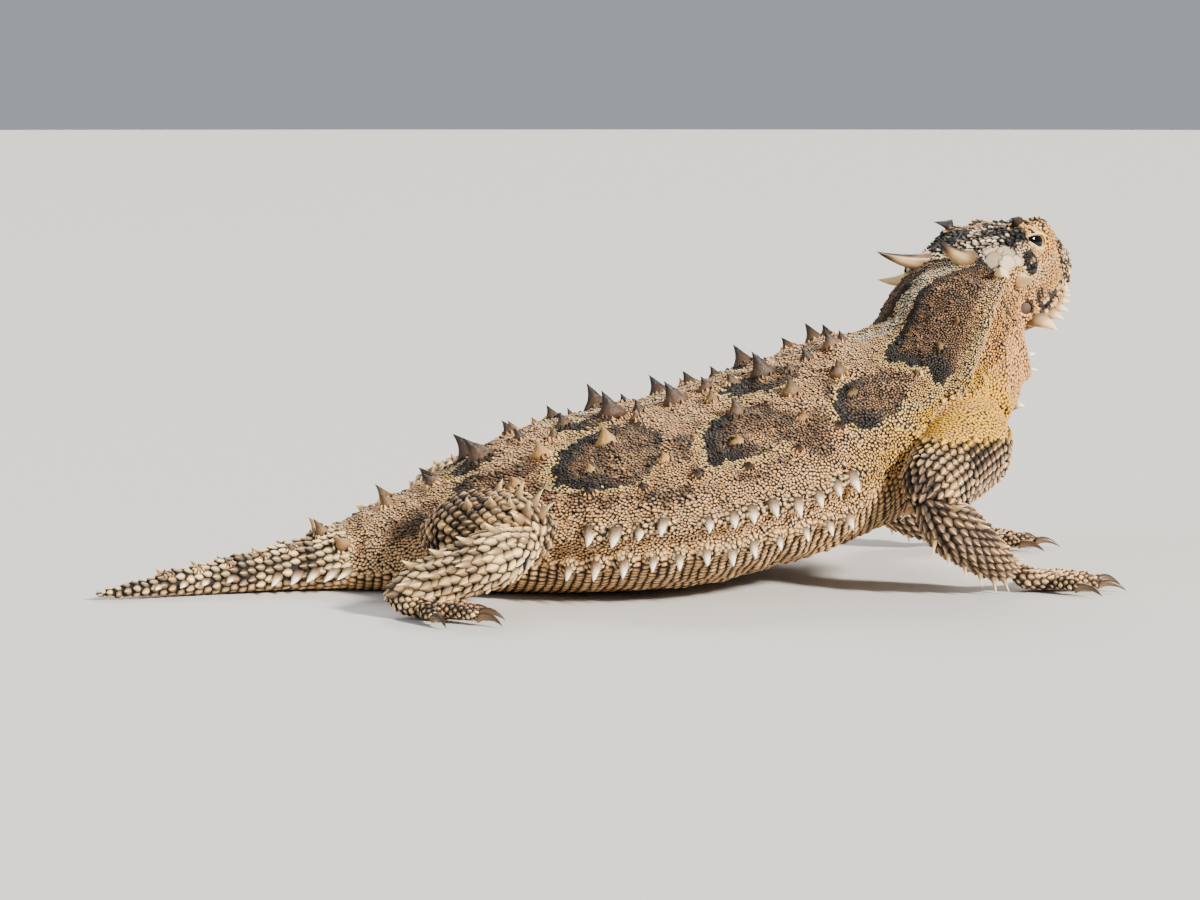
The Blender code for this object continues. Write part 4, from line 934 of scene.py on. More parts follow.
def finish_of(name, roughness, rough_spread, bump_depth, bump_size, fleck=0.3, gloss=0.4):
    """Material of a keratin surface: its painted marks times a fleck of noise, roughness that wanders, and a
    bump of two noises, one fine and one coarse."""
    material = bpy.data.materials.new(name)
    material.use_nodes = True
    shader = material.node_tree.nodes["Principled BSDF"]
    wire = Wire(material.node_tree)
    place = wire.node("ShaderNodeTexCoord", "Object")
    marks = wire.node("ShaderNodeAttribute", "Color", attribute_name="marks")
    fine = wire.node("ShaderNodeTexNoise", 0, {"Vector": place, "Scale": 1000 / bump_size, "Detail": 3.0})
    coarse = wire.node("ShaderNodeTexNoise", 0, {"Vector": place, "Scale": 330 / bump_size, "Detail": 2.0})
    shade = (1 - 0.5 * fleck) + (fine * 0.55 + coarse * 0.45) * fleck
    colour = wire.node("ShaderNodeVectorMath", 0, {0: marks, "Scale": shade}, operation="SCALE")
    wire.feed(shader.inputs["Base Color"], colour)
    wire.feed(shader.inputs["Roughness"], roughness + (coarse - 0.5) * rough_spread)
    height = fine * 0.6 + coarse * 0.4
    bump = wire.node("ShaderNodeBump", 0, {"Height": height, "Strength": 0.8, "Distance": 0.001 * bump_depth})
    wire.feed(shader.inputs["Normal"], bump)
    shader.inputs["Specular IOR Level"].default_value = gloss
    return material


HIDE_FINISH = finish_of("dry_skin", 0.75, 0.2, 0.12, 0.5)


def painted(name, points, loops, sizes, colours, material):
    """An object of polygons given as one run of corner numbers and each polygon's size, with its colours as
    the attribute the materials read."""
    mesh = bpy.data.meshes.new(name)
    mesh.vertices.add(len(points))
    mesh.vertices.foreach_set("co", in_metres(points).astype(np.float32).ravel())
    mesh.loops.add(len(loops))
    mesh.loops.foreach_set("vertex_index", np.asarray(loops, np.int32))
    mesh.polygons.add(len(sizes))
    mesh.polygons.foreach_set("loop_start", (np.cumsum(sizes) - sizes).astype(np.int32))
    mesh.update(calc_edges=True)
    marks = mesh.color_attributes.new(name="marks", type="FLOAT_COLOR", domain="POINT")
    full = np.concatenate([seen(colours), np.ones((len(points), 1))], axis=1)
    marks.data.foreach_set("color", full.astype(np.float32).ravel())
    mesh.polygons.foreach_set("use_smooth", np.ones(len(sizes), bool))
    mesh.materials.append(material)
    return link(name, mesh)


# The scales' common forms, drawn once and copied in place: a keeled granule with a crest that ends in a raised
# point, a keeled leaf for limbs and tail, a tile for the belly, and thorns. Each form's tones are painted light
# and shade: dark at its foot as painted shade between the scales, and bright at its top as a painted highlight.
GRANULE_SIDES, LEAF_SIDES, THORN_SIDES = 6, 10, 10


def shape(points, faces, light_and_shade, mixes):
    """A form: its points and faces, and each point's painted light and shade and how far it has turned to the
    tip's colour.
    """
    return {
        "points": np.asarray(points, float),
        "loops": np.array([corner for face in faces for corner in face]),
        "sizes": np.array([len(face) for face in faces]),
        "tone": np.asarray(light_and_shade, float),
        "mix": np.asarray(mixes, float),
    }


def stack(rings, top, light_and_shade, mixes):
    """A form from rings of points and a top point: sides, a fan on top and one face underneath."""
    rings = np.asarray(rings, float)
    count, sides = rings.shape[:2]
    number = np.arange(count * sides).reshape(count, sides)
    turned = np.roll(number, -1, axis=1)
    faces = np.stack([number[:-1], turned[:-1], turned[1:], number[1:]], axis=-1).reshape(-1, 4).tolist()
    faces += np.stack([number[-1], turned[-1], np.full(sides, count * sides)], axis=-1).tolist()
    faces.append(number[0][::-1].tolist())
    spread = [np.concatenate([np.repeat(values[:-1], sides), values[-1:]]) for values in (light_and_shade, mixes)]
    return shape(np.concatenate([rings.reshape(-1, 3), [top]]), faces, *spread)


def ring(sides, length, width, height, shift=0.0, tilt=0.0, point=0.0, square=2.0):
    """One outline: a superellipse of a length and width, drawn to a point at its rear, shifted along and
    tilted so that its rear end stands higher."""
    angle = np.linspace(0, 2 * np.pi, sides, endpoint=False)
    side, rise = rounded(angle, 1.0, 1.0, 1.0, square, square)
    rear = np.clip(side, 0, 1)
    x = length * (side + point * 0.25 * rear**3) + shift
    y = width * rise * (1 - point * rear**2)
    return np.stack([x, y, height + tilt * x], axis=1)


granule = stack(
    [ring(GRANULE_SIDES, 1.0, 1.0, -0.4), ring(GRANULE_SIDES, 0.86, 0.80, 0.46, 0.06, 0.20, 0.4)],
    (0.42, 0, 1.0), [0.05, 0.36, 1.60], [0, 0, 1.0])
fine_granule = stack(
    [ring(GRANULE_SIDES, 1.0, 1.0, -0.4), ring(GRANULE_SIDES, 0.90, 0.86, 0.56, 0.04, 0.14, 0.2)],
    (0.30, 0, 1.0), [0.30, 0.74, 1.22], [0, 0, 0.8])
pebble = stack(
    [ring(8, 1.0, 1.0, -0.4), ring(8, 0.80, 0.80, 0.62)],
    (0, 0, 1.0), [0.50, 0.96, 1.10], [0, 0, 0.2])
shield = stack(
    [ring(12, size, size, height, square=2.6) for size, height in ((1.0, -0.5), (0.95, 0.7), (0.72, 1.0))],
    (0, 0, 1.0), [0.2, 0.75, 1.0, 1.0], [0, 0, 0, 0])
leaf = stack(
    [ring(LEAF_SIDES, 0.9, 0.9, -0.5, 0, 0, 0.4), ring(LEAF_SIDES, 1.0, 1.0, 0.20, 0.04, 0.28, 0.62),
     ring(LEAF_SIDES, 0.72, 0.22, 0.62, 0.14, 0.34, 0.6)],
    (0.80, 0, 1.15), [0.07, 0.22, 0.95, 1.55], [0, 0, 0.3, 1.0])
tile = stack(
    [ring(8, 0.98, 0.98, -0.6, 0, 0, 0, 3.2), ring(8, 0.94, 0.88, 0.60, 0.04, 0.20, 0, 3.2)],
    (0.2, 0, 0.90), [0.06, 0.66, 1.25], [0, 0, 0])
THORN_BEND = 0.35


def thorn_form(levels, power, flare, flatness, tip_start, light_and_shade):
    """A thorn one unit high: rings that shrink as one less the height to a power, with a flared foot, bent
    back as the height squared; flatness narrows it across."""
    t = np.linspace(0, 1, levels, endpoint=False)
    radius = (1 - t) ** power * (1 + flare * (1 - t) ** 5) / (1 + flare)
    angle = np.linspace(0, 2 * np.pi, THORN_SIDES, endpoint=False)
    keel = 1 + 0.14 * np.cos(2 * angle) + 0.07 * np.cos(5 * angle)
    x = radius[:, None] * keel * np.cos(angle) + (THORN_BEND * t**2)[:, None]
    y = radius[:, None] * keel * np.sin(angle) * flatness
    rings = np.stack([x, y, np.repeat(t[:, None], THORN_SIDES, axis=1)], axis=-1)
    rings[0, :, 2] = -0.12
    tone = np.concatenate([light_and_shade[0] + (light_and_shade[1] - light_and_shade[0]) * t, [light_and_shade[1]]])
    mix = np.concatenate([ramp(t, tip_start, 0.95), [1.0]])
    return stack(rings, (THORN_BEND, 0, 1.0), tone, mix)


thorn = thorn_form(8, 1.05, 0.5, 0.92, 0.10, (0.85, 1.1))
fringe_thorn = thorn_form(6, 0.80, 0.15, 0.85, -0.25, (0.62, 1.45))
# The colour that a scale's tip turns towards when no tips are given: a painted highlight.
TIP_HIGHLIGHT = (0.97, 0.90, 0.78)
LEAST_HEIGHT = 0.02
PATCH_SIZE = 0.003
roots_of_all, colours_of_all = [], []


class Coat:
    """Scales gathered for one piece, then made into one mesh."""

    def __init__(self):
        self.points, self.loops, self.sizes, self.paint, self.patches = [], [], [], [], []
        self.roots, self.colours = [], []
        self.total = 0

    def lay(self, form, roots, ups, backs, length, width, height, colours, tips=None):
        """Copies of a form at roots: its x along backs (made square to ups), its y across and its z along
        ups, scaled by half length, half width and height, with a ground colour and a tip colour each. Ways
        and colours may be given once for all. Without tips, a scale's tip gets a painted highlight: paler,
        least on an orange one."""
        count = len(roots)
        if not count:
            return
        ups = unit(np.asarray(ups, float))
        ahead = unit(backs - ups * (ups * backs).sum(axis=-1, keepdims=True))
        ways = [np.broadcast_to(way, (count, 3))[:, None] for way in (ahead, np.cross(ups, ahead), ups)]
        scales = [np.broadcast_to(np.asarray(value, float), count)[:, None, None]
                  for value in (length, width, height)]
        steps = [scales[k] * form["points"][None, :, k:k + 1] * ways[k] for k in range(3)]
        points = roots[:, None] + steps[0] + steps[1] + steps[2]
        points[..., 2] = np.maximum(points[..., 2], LEAST_HEIGHT)
        colours = np.broadcast_to(np.asarray(colours, float), (count, 3))
        if tips is None:
            # A painted highlight: the tip turned towards a pale colour, least on an orange scale.
            plain = np.clip(1.5 - 1.9 * (colours[:, 0] - colours[:, 2]), 0, 1)
            tips = blend(colours, TIP_HIGHLIGHT, plain * np.clip(0.5 * colours.mean(axis=1) - 0.01, 0, 1))
        tips = np.broadcast_to(np.asarray(tips, float), (count, 3))
        # The form's tone is painted light and shade: shade towards its foot, a highlight at its top.
        mix, tone = form["mix"][None, :, None], form["tone"][None, :, None]
        corners = np.clip(0.5 + 0.42 * form["points"][form["loops"], :2], 0, 1)
        first = self.total + len(form["points"]) * np.arange(count)[:, None]
        self.points.append(points.reshape(-1, 3))
        self.loops.append((form["loops"][None] + first).ravel())
        self.sizes.append(np.tile(form["sizes"], count))
        self.paint.append(((colours[:, None] * (1 - mix) + tips[:, None] * mix) * tone).reshape(-1, 3))
        self.patches.append((unwrap(roots)[:, None] + PATCH_SIZE * corners).reshape(-1, 2))
        self.roots.append(roots)
        self.colours.append(colours)
        self.total += count * len(form["points"])

    def make(self, name, material):
        """The piece: all its scales in one mesh, with the unwrap that the bake reads."""
        sizes = np.concatenate(self.sizes)
        piece = painted(name, np.concatenate(self.points), np.concatenate(self.loops), sizes,
                        np.concatenate(self.paint), material)
        layer = piece.data.uv_layers.new(name="OFBake")
        layer.data.foreach_set("uv", np.concatenate(self.patches).astype(np.float32).ravel())
        roots_of_all.extend(self.roots)
        colours_of_all.extend(self.colours)
        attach(piece, "root")
        print(name, "triangles", int((sizes - 2).sum()))


class Collars:
    """Rings of scales round the feet of thorns, gathered so that they are coloured and laid together."""

    def __init__(self):
        self.roots, self.leans, self.backs, self.sizes = [], [], [], []

    def add(self, spot, axis, radius, count, draw, size=0.42):
        """A ring round one foot; each scale leans outwards and points up along the thorn."""
        guide = unit(np.cross(axis, (0.3, 0.5, 0.8)))
        other = np.cross(axis, guide)
        angle = np.linspace(0, 2 * np.pi, count, endpoint=False)
        angle = angle + draw.uniform(0, 1) + draw.uniform(-0.2, 0.2, count)
        away = np.cos(angle)[:, None] * guide + np.sin(angle)[:, None] * other
        roots, ups, distance = snapped(spot + away * radius)
        near = distance < 1.0
        self.roots.append(roots[near])
        self.leans.append(unit(0.8 * ups + 0.5 * away)[near])
        self.backs.append((np.tile(axis, (count, 1)) - 0.35 * away)[near])
        self.sizes.append(np.full(near.sum(), size * (0.7 + 0.3 * radius)))

    def lay(self, coat, form, colours_of, draw):
        """All rings into a coat, with colours found from their places."""
        roots, sizes = np.concatenate(self.roots), np.concatenate(self.sizes)
        grow = 0.7 + 0.5 * draw.random(len(roots))
        coat.lay(form, roots, np.concatenate(self.leans), np.concatenate(self.backs), sizes * grow,
                 0.8 * sizes * grow, 0.36 * grow, colours_of(roots, draw))


# The thorns, each on its swelling of the hide with a collar of scales: brown and dark-tipped along the back,
# tan elsewhere, and white in the fringes and on the throat.
THORN_BROWN, THORN_TAN, THORN_TIP = np.array(((0.46, 0.375, 0.285), (0.90, 0.76, 0.52), (0.15, 0.115, 0.09)))
FRINGE_ROOT, FRINGE_WHITE, MOUND_CREAM = (0.78, 0.65, 0.50), (1.0, 0.98, 0.93), (0.92, 0.78, 0.58)
TRUNK_START_X, TRUNK_STOUTNESS, FRINGE_STOUTNESS = 36, 1.32, 0.95
KERATIN = finish_of("thorn_keratin", 0.55, 0.25, 0.30, 0.40, 0.7)
HIDE_SCALE = finish_of("scale_keratin", 0.62, 0.22, 0.05, 0.3, 0.35)
draw = np.random.default_rng(11)
horn_coat = Coat()
tan_rings, mound_rings = Collars(), Collars()


def plant(form, foot, tip, rearward, size, ground, end):
    """One thorn from its foot on the hide to its tip, allowing for the form's own backward bend."""
    reach = tip - foot - THORN_BEND * size * rearward
    height = np.linalg.norm(reach)
    horn_coat.lay(form, foot[None], reach / height, rearward, size, size, height, ground, end)


for row, spot, outward, rearward, tip, radius, height in thorns:
    foot = snapped(spot[None])[0][0]
    warm = draw.random()
    if row in FRINGE_ROWS + TAIL_FRINGE_ROWS:
        plant(fringe_thorn, foot, tip, rearward, radius * FRINGE_STOUTNESS, FRINGE_ROOT, FRINGE_WHITE)
        if row in FRINGE_ROWS:
            mound_rings.add(foot, outward, radius * 1.05, 7, draw, 0.66)
            mound_rings.add(foot, outward, radius * 1.75, 10, draw, 0.55)
        continue
    on_back = spot[0] > TRUNK_START_X
    if row == TALL_ROW and on_back:
        ground, end = THORN_BROWN * (0.9 + 0.5 * warm), THORN_TIP
    elif row == KNOB_ROW:
        ground, end = THORN_BROWN, THORN_TIP
    else:
        share = 0.25 + 0.75 * warm
        ground = THORN_BROWN * (1 - share) + THORN_TAN * share
        end = THORN_TIP * (1 - 0.6 * share) + 0.6 * share * THORN_TAN
    plant(thorn, foot, tip, rearward, radius * (TRUNK_STOUTNESS if on_back else 1.0), ground, end)
    if spot[2] > 0.8:
        tan_rings.add(foot, outward, radius * 1.15, 10 if height > 1.2 else 8, draw)

for place, up, height, radius in THROAT_SPINES:
    for angle in (math.radians(up), math.pi - math.radians(up)):
        spot, outward, rearward = (v[0] for v in body_spots(np.array([place]), np.array([angle])))
        foot, tip = snapped(spot[None])[0][0], spot + height * (outward - 0.3 * rearward)
        plant(fringe_thorn, foot, tip, rearward, radius, FRINGE_ROOT, FRINGE_WHITE)


def mound_colours(points, draw):
    """The body's colours, half turned to cream, for the mounds that carry the fringes."""
    return blend(body_colour(points, draw), MOUND_CREAM, np.full(len(points), 0.45))


tan_rings.lay(horn_coat, leaf, body_colour, draw)
mound_rings.lay(horn_coat, granule, mound_colours, draw)
horn_coat.make("thorns", KERATIN)

# The granules of the back, flanks and neck: small keeled beads, 0.3 to 0.4 mm apart, close set and leaning
# back, with no row to be seen. They are spread evenly over the hide by chance, then pushed apart.
GRANULE_SPACING, NECK_SPACING, FLANK_SPACING, THROAT_SPACING = 0.36, 0.29, 0.39, 0.40
GRANULES_END_DOWN, BELLY_START_DOWN, GRANULES_START, NAPE_X = 103, 101, 5.2, -16


def scatter(wanted, spacing, seed, rounds=5):
    """Evenly spread roots on the wanted quads. Random places are kept in turn when no kept one is nearer
    than their spacing; then each is pushed away from neighbours nearer than its spacing, and put back on
    the hide."""
    draw = np.random.default_rng(seed)
    quads = hide_quads[wanted]
    a, b, c, d = (hide[quads[:, k]] for k in range(4))
    area = 0.5 * np.linalg.norm(np.cross(c - a, d - b), axis=1)
    gap = spacing[wanted]
    chance = area / gap**2
    number = draw.choice(len(quads), int(7 * chance.sum()), p=chance / chance.sum())
    u, v = draw.random((2, len(number), 1))
    spots = (a[number] * (1 - u) + b[number] * u) * (1 - v) + (d[number] * (1 - u) + c[number] * u) * v
    gaps = gap[number]
    cell = gaps.max()
    keys = np.floor(spots / cell).astype(int)
    kept, grid = [], {}
    around = [(i, j, k) for i in (-1, 0, 1) for j in (-1, 0, 1) for k in (-1, 0, 1)]
    spot_list, key_list, reach = spots.tolist(), keys.tolist(), (0.80 * gaps).tolist()
    for index, ((x, y, z), (i, j, k), least) in enumerate(zip(spot_list, key_list, reach)):
        clear = True
        for di, dj, dk in around:
            for other in grid.get((i + di, j + dj, k + dk), ()):
                px, py, pz = spot_list[other]
                if (x - px) ** 2 + (y - py) ** 2 + (z - pz) ** 2 < least * least:
                    clear = False
                    break
            if not clear:
                break
        if clear:
            grid.setdefault((i, j, k), []).append(index)
            kept.append(index)
    roots, gaps = spots[kept], gaps[kept]
    ups = np.zeros_like(roots)
    for step in range(rounds + 1):
        tree = KDTree(len(roots))
        for index, root in enumerate(roots):
            tree.insert(root, index)
        tree.balance()
        near = np.array([[hit[1] for hit in tree.find_n(root, 7)][1:] for root in roots])
        apart = roots[:, None] - roots[near]
        distance = np.maximum(np.linalg.norm(apart, axis=2), 1e-6)
        if step == rounds:
            break
        push = np.clip(1.12 * gaps[:, None] - distance, 0, None) / distance
        roots = roots + 0.28 * (apart * push[..., None]).sum(axis=1)
        roots, ups, away = snapped(roots)
    return roots, ups, np.sort(distance, axis=1)[:, :5].mean(axis=1)


def clear_of_spots(roots, spots, factor):
    """Which roots lie outside round patches, each a middle and a radius."""
    clear = np.ones(len(roots), bool)
    for spot, radius in spots:
        clear &= ((roots - spot) ** 2).sum(axis=1) > (factor * radius) ** 2
    return clear


def way_back(points):
    """The way back along the trunk at points, from the axis at their section."""
    place = loft_share[nearest_loft(points)] * NECK_END
    return unit(follow(AXIS, place - 0.2)[:, :3] - follow(AXIS, place + 0.2)[:, :3])


def picked(keep, *arrays):
    """The wanted rows of some arrays."""
    return [values[keep] for values in arrays]


def wobbled(ways, share, draw):
    """Ways turned a little by chance."""
    return unit(ways + share * draw.normal(size=ways.shape))


quad_part = hide_part[hide_quads[:, 0]]
quad_place, quad_down, quad_line = chart_of(hide[hide_quads[:, 0]])
middle = hide[hide_quads].mean(axis=1)
back_wanted = (quad_part == "body") & (quad_down < GRANULES_END_DOWN) & (quad_place > GRANULES_START)
spacing = GRANULE_SPACING + (FLANK_SPACING - GRANULE_SPACING) * ramp(quad_down, 60, 80)
spacing += (NECK_SPACING - spacing) * ramp(quad_place, 16.6, 17.6)
spacing *= 0.86 + 0.30 * ramp(grain(middle, 1.6, 41), 0.3, 0.75)
roots, ups, gap = scatter(back_wanted, spacing, 21)
roots, ups, gap = picked(clear_of_spots(roots, thorn_spots, 0.95), roots, ups, gap)
draw = np.random.default_rng(12)
colours = body_colour(roots, draw)
large = draw.random(len(roots)) > 0.95
size = np.clip(gap, 0.2, 0.9) * (0.55 + 0.14 * draw.random(len(roots))) * np.where(large, 1.45, 1)
lift = (0.16 + 0.12 * draw.random(len(roots))) * np.where(large, 1.9, 1)
turned = wobbled(ups, 0.14, draw)
backs = wobbled(way_back(roots), 0.35, draw)
nape, right, ahead = to_head(roots)[:, 0] > NAPE_X, roots[:, 1] <= 0, roots[:, 0] > 60
for word, half in (("neck", nape), ("left", ~right & ~nape), ("right_front", right & ahead & ~nape),
                   ("right_rear", right & ~ahead & ~nape)):
    coat = Coat()
    # Each granule's tip is painted 15 percent brighter as a painted highlight.
    coat.lay(granule, roots[half], turned[half], backs[half], 1.15 * size[half], size[half], lift[half],
             colours[half], colours[half] * 1.15)
    coat.make("granules_" + word, HIDE_SCALE)

# The belly's scales: flat, squarish and smooth, in even rows across the body that overlap backwards.
BELLY_ROW, BELLY_WIDTH = 0.98, 0.74


def rows_round(surface, start, stop, row_step, width, first_angle, last_angle):
    """Roots in rows across a part: rows a step apart along it, scales a width apart round each row, and
    every second row shifted by half a scale. Gives each root's share, angle, point, and row and scale size."""
    fine = np.linspace(start, stop, 600)
    spine_line = surface(fine, np.full(600, 0.5 * (first_angle + last_angle)))
    run = np.concatenate([[0], np.cumsum(np.linalg.norm(np.diff(spine_line, axis=0), axis=1))])
    count = max(2, int(run[-1] / row_step))
    shares = np.interp(np.linspace(0, run[-1], count), run, fine)
    found = []
    for number, share in enumerate(shares):
        angle = np.linspace(first_angle, last_angle, 120)
        loop = surface(np.full(120, share), angle)
        length = np.concatenate([[0], np.cumsum(np.linalg.norm(np.diff(loop, axis=0), axis=1))])
        scales = max(4, int(round(length[-1] / width)))
        at = (np.arange(scales) + 0.5 * (number % 2) + 0.25) / scales * length[-1]
        at = at[at < length[-1]]
        turn = np.interp(at, length, angle)
        wide = np.full(len(turn), length[-1] / scales)
        found.append(np.stack([np.full(len(turn), share), turn, wide], axis=1))
    rows = np.concatenate(found)
    return rows[:, 0], rows[:, 1], surface(rows[:, 0], rows[:, 1]), run[-1] / count, rows[:, 2]


def body_surface(places, angles):
    """Points of the hide's trunk loft."""
    return body_points(places, angles, -BODY_INSET)


place, turn, roots, row, width = rows_round(body_surface, 5.6, 17.5, BELLY_ROW, BELLY_WIDTH,
                                            math.radians(-170), math.radians(-10))
roots, ups, away = snapped(roots)
keep = (loft_part[nearest_loft(roots)] == "body") & (away < 0.9) & (chart_of(roots)[1] > BELLY_START_DOWN)
roots, ups, width = picked(keep & clear_of_spots(roots, thorn_spots, 1.15), roots, ups, width)
draw = np.random.default_rng(13)
coat = Coat()
coat.lay(tile, roots, ups, way_back(roots), 0.49 * row, 0.45 * width, 0.32, body_colour(roots, draw))
coat.make("belly_scales", HIDE_SCALE)

# The throat, lower neck and shoulders carry finer, looser granules than the belly.
SHOULDER_TOP = 18.3
quad_throat = (quad_part == "body") & (quad_place > 17.4) & (quad_place < NECK_END)
quad_throat &= quad_down >= BELLY_START_DOWN
shoulder_skin = np.isin(quad_part, ("arm_left", "arm_right")) & (middle[:, 2] > SHOULDER_TOP)
roots, ups, gap = scatter(quad_throat | shoulder_skin, np.full(len(hide_quads), THROAT_SPACING), 22, 3)
colours = body_colour(roots, draw)
near = nearest_loft(roots)
on_arm = loft_part[near] != "body"
colours[on_arm] = limb_colour(roots[on_arm], loft_share[near[on_arm]], ups[on_arm], draw, "arm")
coat = Coat()
coat.lay(fine_granule, roots, wobbled(ups, 0.12, draw), way_back(roots), 0.70 * gap, 0.58 * gap, 0.18, colours)
coat.make("throat_granules", HIDE_SCALE)

# The tail's scales: keeled and pointed, in rings that overlap towards its tip.
place, turn, roots, row, width = rows_round(body_surface, 0.15, 5.35, 1.00, 1.10, -math.pi / 2, 1.5 * math.pi)
roots, ups, away = snapped(roots)
keep = clear_of_spots(roots, thorn_spots, 1.0) & (away < 0.8)
roots, ups, width, place = picked(keep, roots, ups, width, place)
draw = np.random.default_rng(14)
colours, backs = body_colour(roots, draw), way_back(roots)
size = 0.58 * np.interp(place, (0, 1.5, 5.4), (0.5, 0.85, 1.05))
under = ups[:, 2] < -0.5
coat = Coat()
coat.lay(leaf, roots[~under], ups[~under], backs[~under], 1.15 * size[~under], 0.52 * width[~under], 0.42,
         colours[~under])
coat.lay(tile, roots[under], ups[under], backs[under], size[under], 0.5 * width[under], 0.2, colours[under])
coat.make("tail_scales", HIDE_SCALE)

# The limbs' scales: large keeled leaves that overlap towards the foot, smaller and flatter underneath, with
# pointed pale thorns along thigh, shank and forearm where the solids have theirs.
LIMB_SCALE = {"thigh": 1.65, "shank": 1.65, "arm": 1.5, "forearm": 1.4}
# Each row of a limb's pointed scales: its first and last share along it, their number, the turn up from the
# limb's outer side, their height and their radius.
LIMB_SPINES = {
    "thigh": ((0.45, 0.92, 4, 60, 1.3, 0.9), (0.5, 0.95, 4, 105, 1.2, 0.9)),
    "shank": ((0.15, 0.75, 5, 20, 1.1, 0.85), (0.1, 0.7, 5, 70, 1.1, 0.85)),
    "arm": ((0.5, 0.9, 4, 200, 1.0, 0.8),),
    "forearm": ((0.2, 0.85, 6, -60, 1.2, 0.6), (0.15, 0.8, 4, 40, 0.8, 0.7)),
}
SPIKE_TAN, SPIKE_CREAM = (0.74, 0.64, 0.49), (0.97, 0.90, 0.76)


def limb_thorns(kind, table):
    """A limb's pointed scales: foot, way out, way ahead, tip and radius, in rows along it."""
    found = []
    for first, last, count, turn, height, radius in LIMB_SPINES[kind]:
        for place in np.linspace(first, last, count):
            rows = follow(table, np.array([place, place + 0.02]) * (len(table) - 1))
            ahead = unit(rows[1, :3] - rows[0, :3])
            outer = np.array([0.0, np.sign(rows[0, 1]), 0.0])
            outer = unit(outer - ahead * outer.dot(ahead))
            up = np.array([0.0, 0.0, 1.0])
            up = unit(up - ahead * up.dot(ahead) - outer * up.dot(outer))
            out = math.cos(math.radians(turn)) * outer + math.sin(math.radians(turn)) * up
            thick = 0.5 * (rows[0, 3] + rows[0, 4])
            tip = rows[0, :3] + out * (thick + height) + 0.7 * height * ahead
            tip[2] = max(tip[2], 0.2)
            found.append((rows[0, :3] + out * thick, out, ahead, tip, radius))
    return found


def rows_on_tube(name, table, inset, start, stop, row_step, width, reach, bare=()):
    """Rows of scales round a limb, palm or toe: those roots that the hide's own part of that name carries,
    with the hide's normals, the ways ahead, the shares along it and the scales' widths."""
    def surface(shares, angles):
        """Points of the loft at shares along it and angles round it."""
        return tube_points(table, shares, angles, -inset)[0]

    share, turn, roots, row, width = rows_round(surface, start, stop, row_step, width, 0.0, 2 * math.pi)
    ahead = tube_points(table, share, turn, 0)[2]
    roots, ups, away = snapped(roots)
    keep = (loft_part[nearest_loft(roots)] == name) & (away < reach) & clear_of_spots(roots, bare, 0.75)
    if name.startswith("arm"):
        keep &= roots[:, 2] < SHOULDER_TOP + 0.3
    return picked(keep, roots, ups, ahead, share, width)


draw = np.random.default_rng(15)
for ends in ("front", "hind"):
    coat = Coat()
    for name, table in limbs.items():
        kind = name.split("_")[0]
        if (kind in ("arm", "forearm")) != (ends == "front"):
            continue
        spikes = limb_thorns(kind, table)
        bare = [(foot, radius) for foot, out, way, tip, radius in spikes]
        size = LIMB_SCALE[kind]
        roots, ups, ahead, share, width = rows_on_tube(name, table, LIMB_INSET, 0.02, 0.98, 0.62 * size,
                                                       0.74 * size, 0.9, bare)
        colours = limb_colour(roots, share, ups, draw, kind)
        grow = 0.9 + 0.25 * draw.random(len(roots))
        coat.lay(leaf, roots, wobbled(ups, 0.10, draw), ahead, 0.50 * size * grow, 0.56 * width * grow,
                 0.46 * grow, colours)
        for foot, out, way, tip, radius in spikes:
            base, up, distance = snapped(foot[None])
            if distance[0] < 1.5:
                axis = tip - base[0]
                coat.lay(thorn, base, unit(axis), way, radius * 0.95, radius * 0.95,
                         1.05 * np.linalg.norm(axis), SPIKE_TAN, SPIKE_CREAM)
    coat.make("limb_scales_" + ends, HIDE_SCALE)

# Hands and feet: the palms have small overlapping scales, and each toe wears rings of narrow keeled ones.
PALM_ROW, TOE_ROW = (0.72, 0.86), (0.50, 0.80)
draw = np.random.default_rng(16)
coat = Coat()
for name, (palm, toes, claws) in feet.items():
    for label, table in [(name, palm)] + [(f"{name}_toe{n}", toe) for n, toe in enumerate(toes)]:
        step, wide = PALM_ROW if label == name else TOE_ROW
        roots, ups, ahead, share, width = rows_on_tube(label, table, TOE_INSET, 0.05, 0.97, step, wide, 0.5)
        colours = limb_colour(roots, share, ups, draw, "foot")
        under = ups[:, 2] < -0.45
        # The upper scales' tips are painted 15 percent brighter as a painted highlight.
        coat.lay(leaf, roots[~under], ups[~under], ahead[~under], 0.66 * step, 0.54 * width[~under], 0.30,
                 colours[~under], colours[~under] * 1.15)
        coat.lay(granule, roots[under], ups[under], ahead[under], 0.6 * step, 0.5 * width[under], 0.16,
                 colours[under])
coat.make("toe_scales", HIDE_SCALE)

# Claws: one curved cone of tan horn on each toe, darker along its back.
CLAW_RADIUS, CLAW_RINGS, CLAW_SIDES = 0.62, 12, 12
CLAW_TAN, CLAW_DARK = np.array((0.66, 0.56, 0.42)), np.array((0.26, 0.20, 0.15))


def curved_cone(root, tip, radius, bow, rings, sides, power=0.8, groove=0.0, grooves=7):
    """Rings of points from root to tip: the centre follows a bowed line, the radius shrinks as one less t to
    a power, and grooves run along it as a cosine round it."""
    along = tip - root
    steep = abs(along[2]) >= 0.9 * np.linalg.norm(along)
    across = unit(np.cross(along, (0, 1, 0) if steep else (0, 0, 1)))
    upward = unit(np.cross(across, along))
    t = np.linspace(0, 0.985, rings)[:, None]
    angle = np.linspace(0, 2 * np.pi, sides, endpoint=False)[None, :]
    centre = root + t * along + 4 * t * (1 - t) * np.asarray(bow, float)
    size = radius * (1 - t) ** power * (1 + groove * np.cos(grooves * angle))
    circles = (centre[:, None] + (size * np.cos(angle))[..., None] * across
               + (size * np.sin(angle))[..., None] * upward)
    return circles, np.repeat(t, sides, axis=1), np.sin(angle) + 0 * t


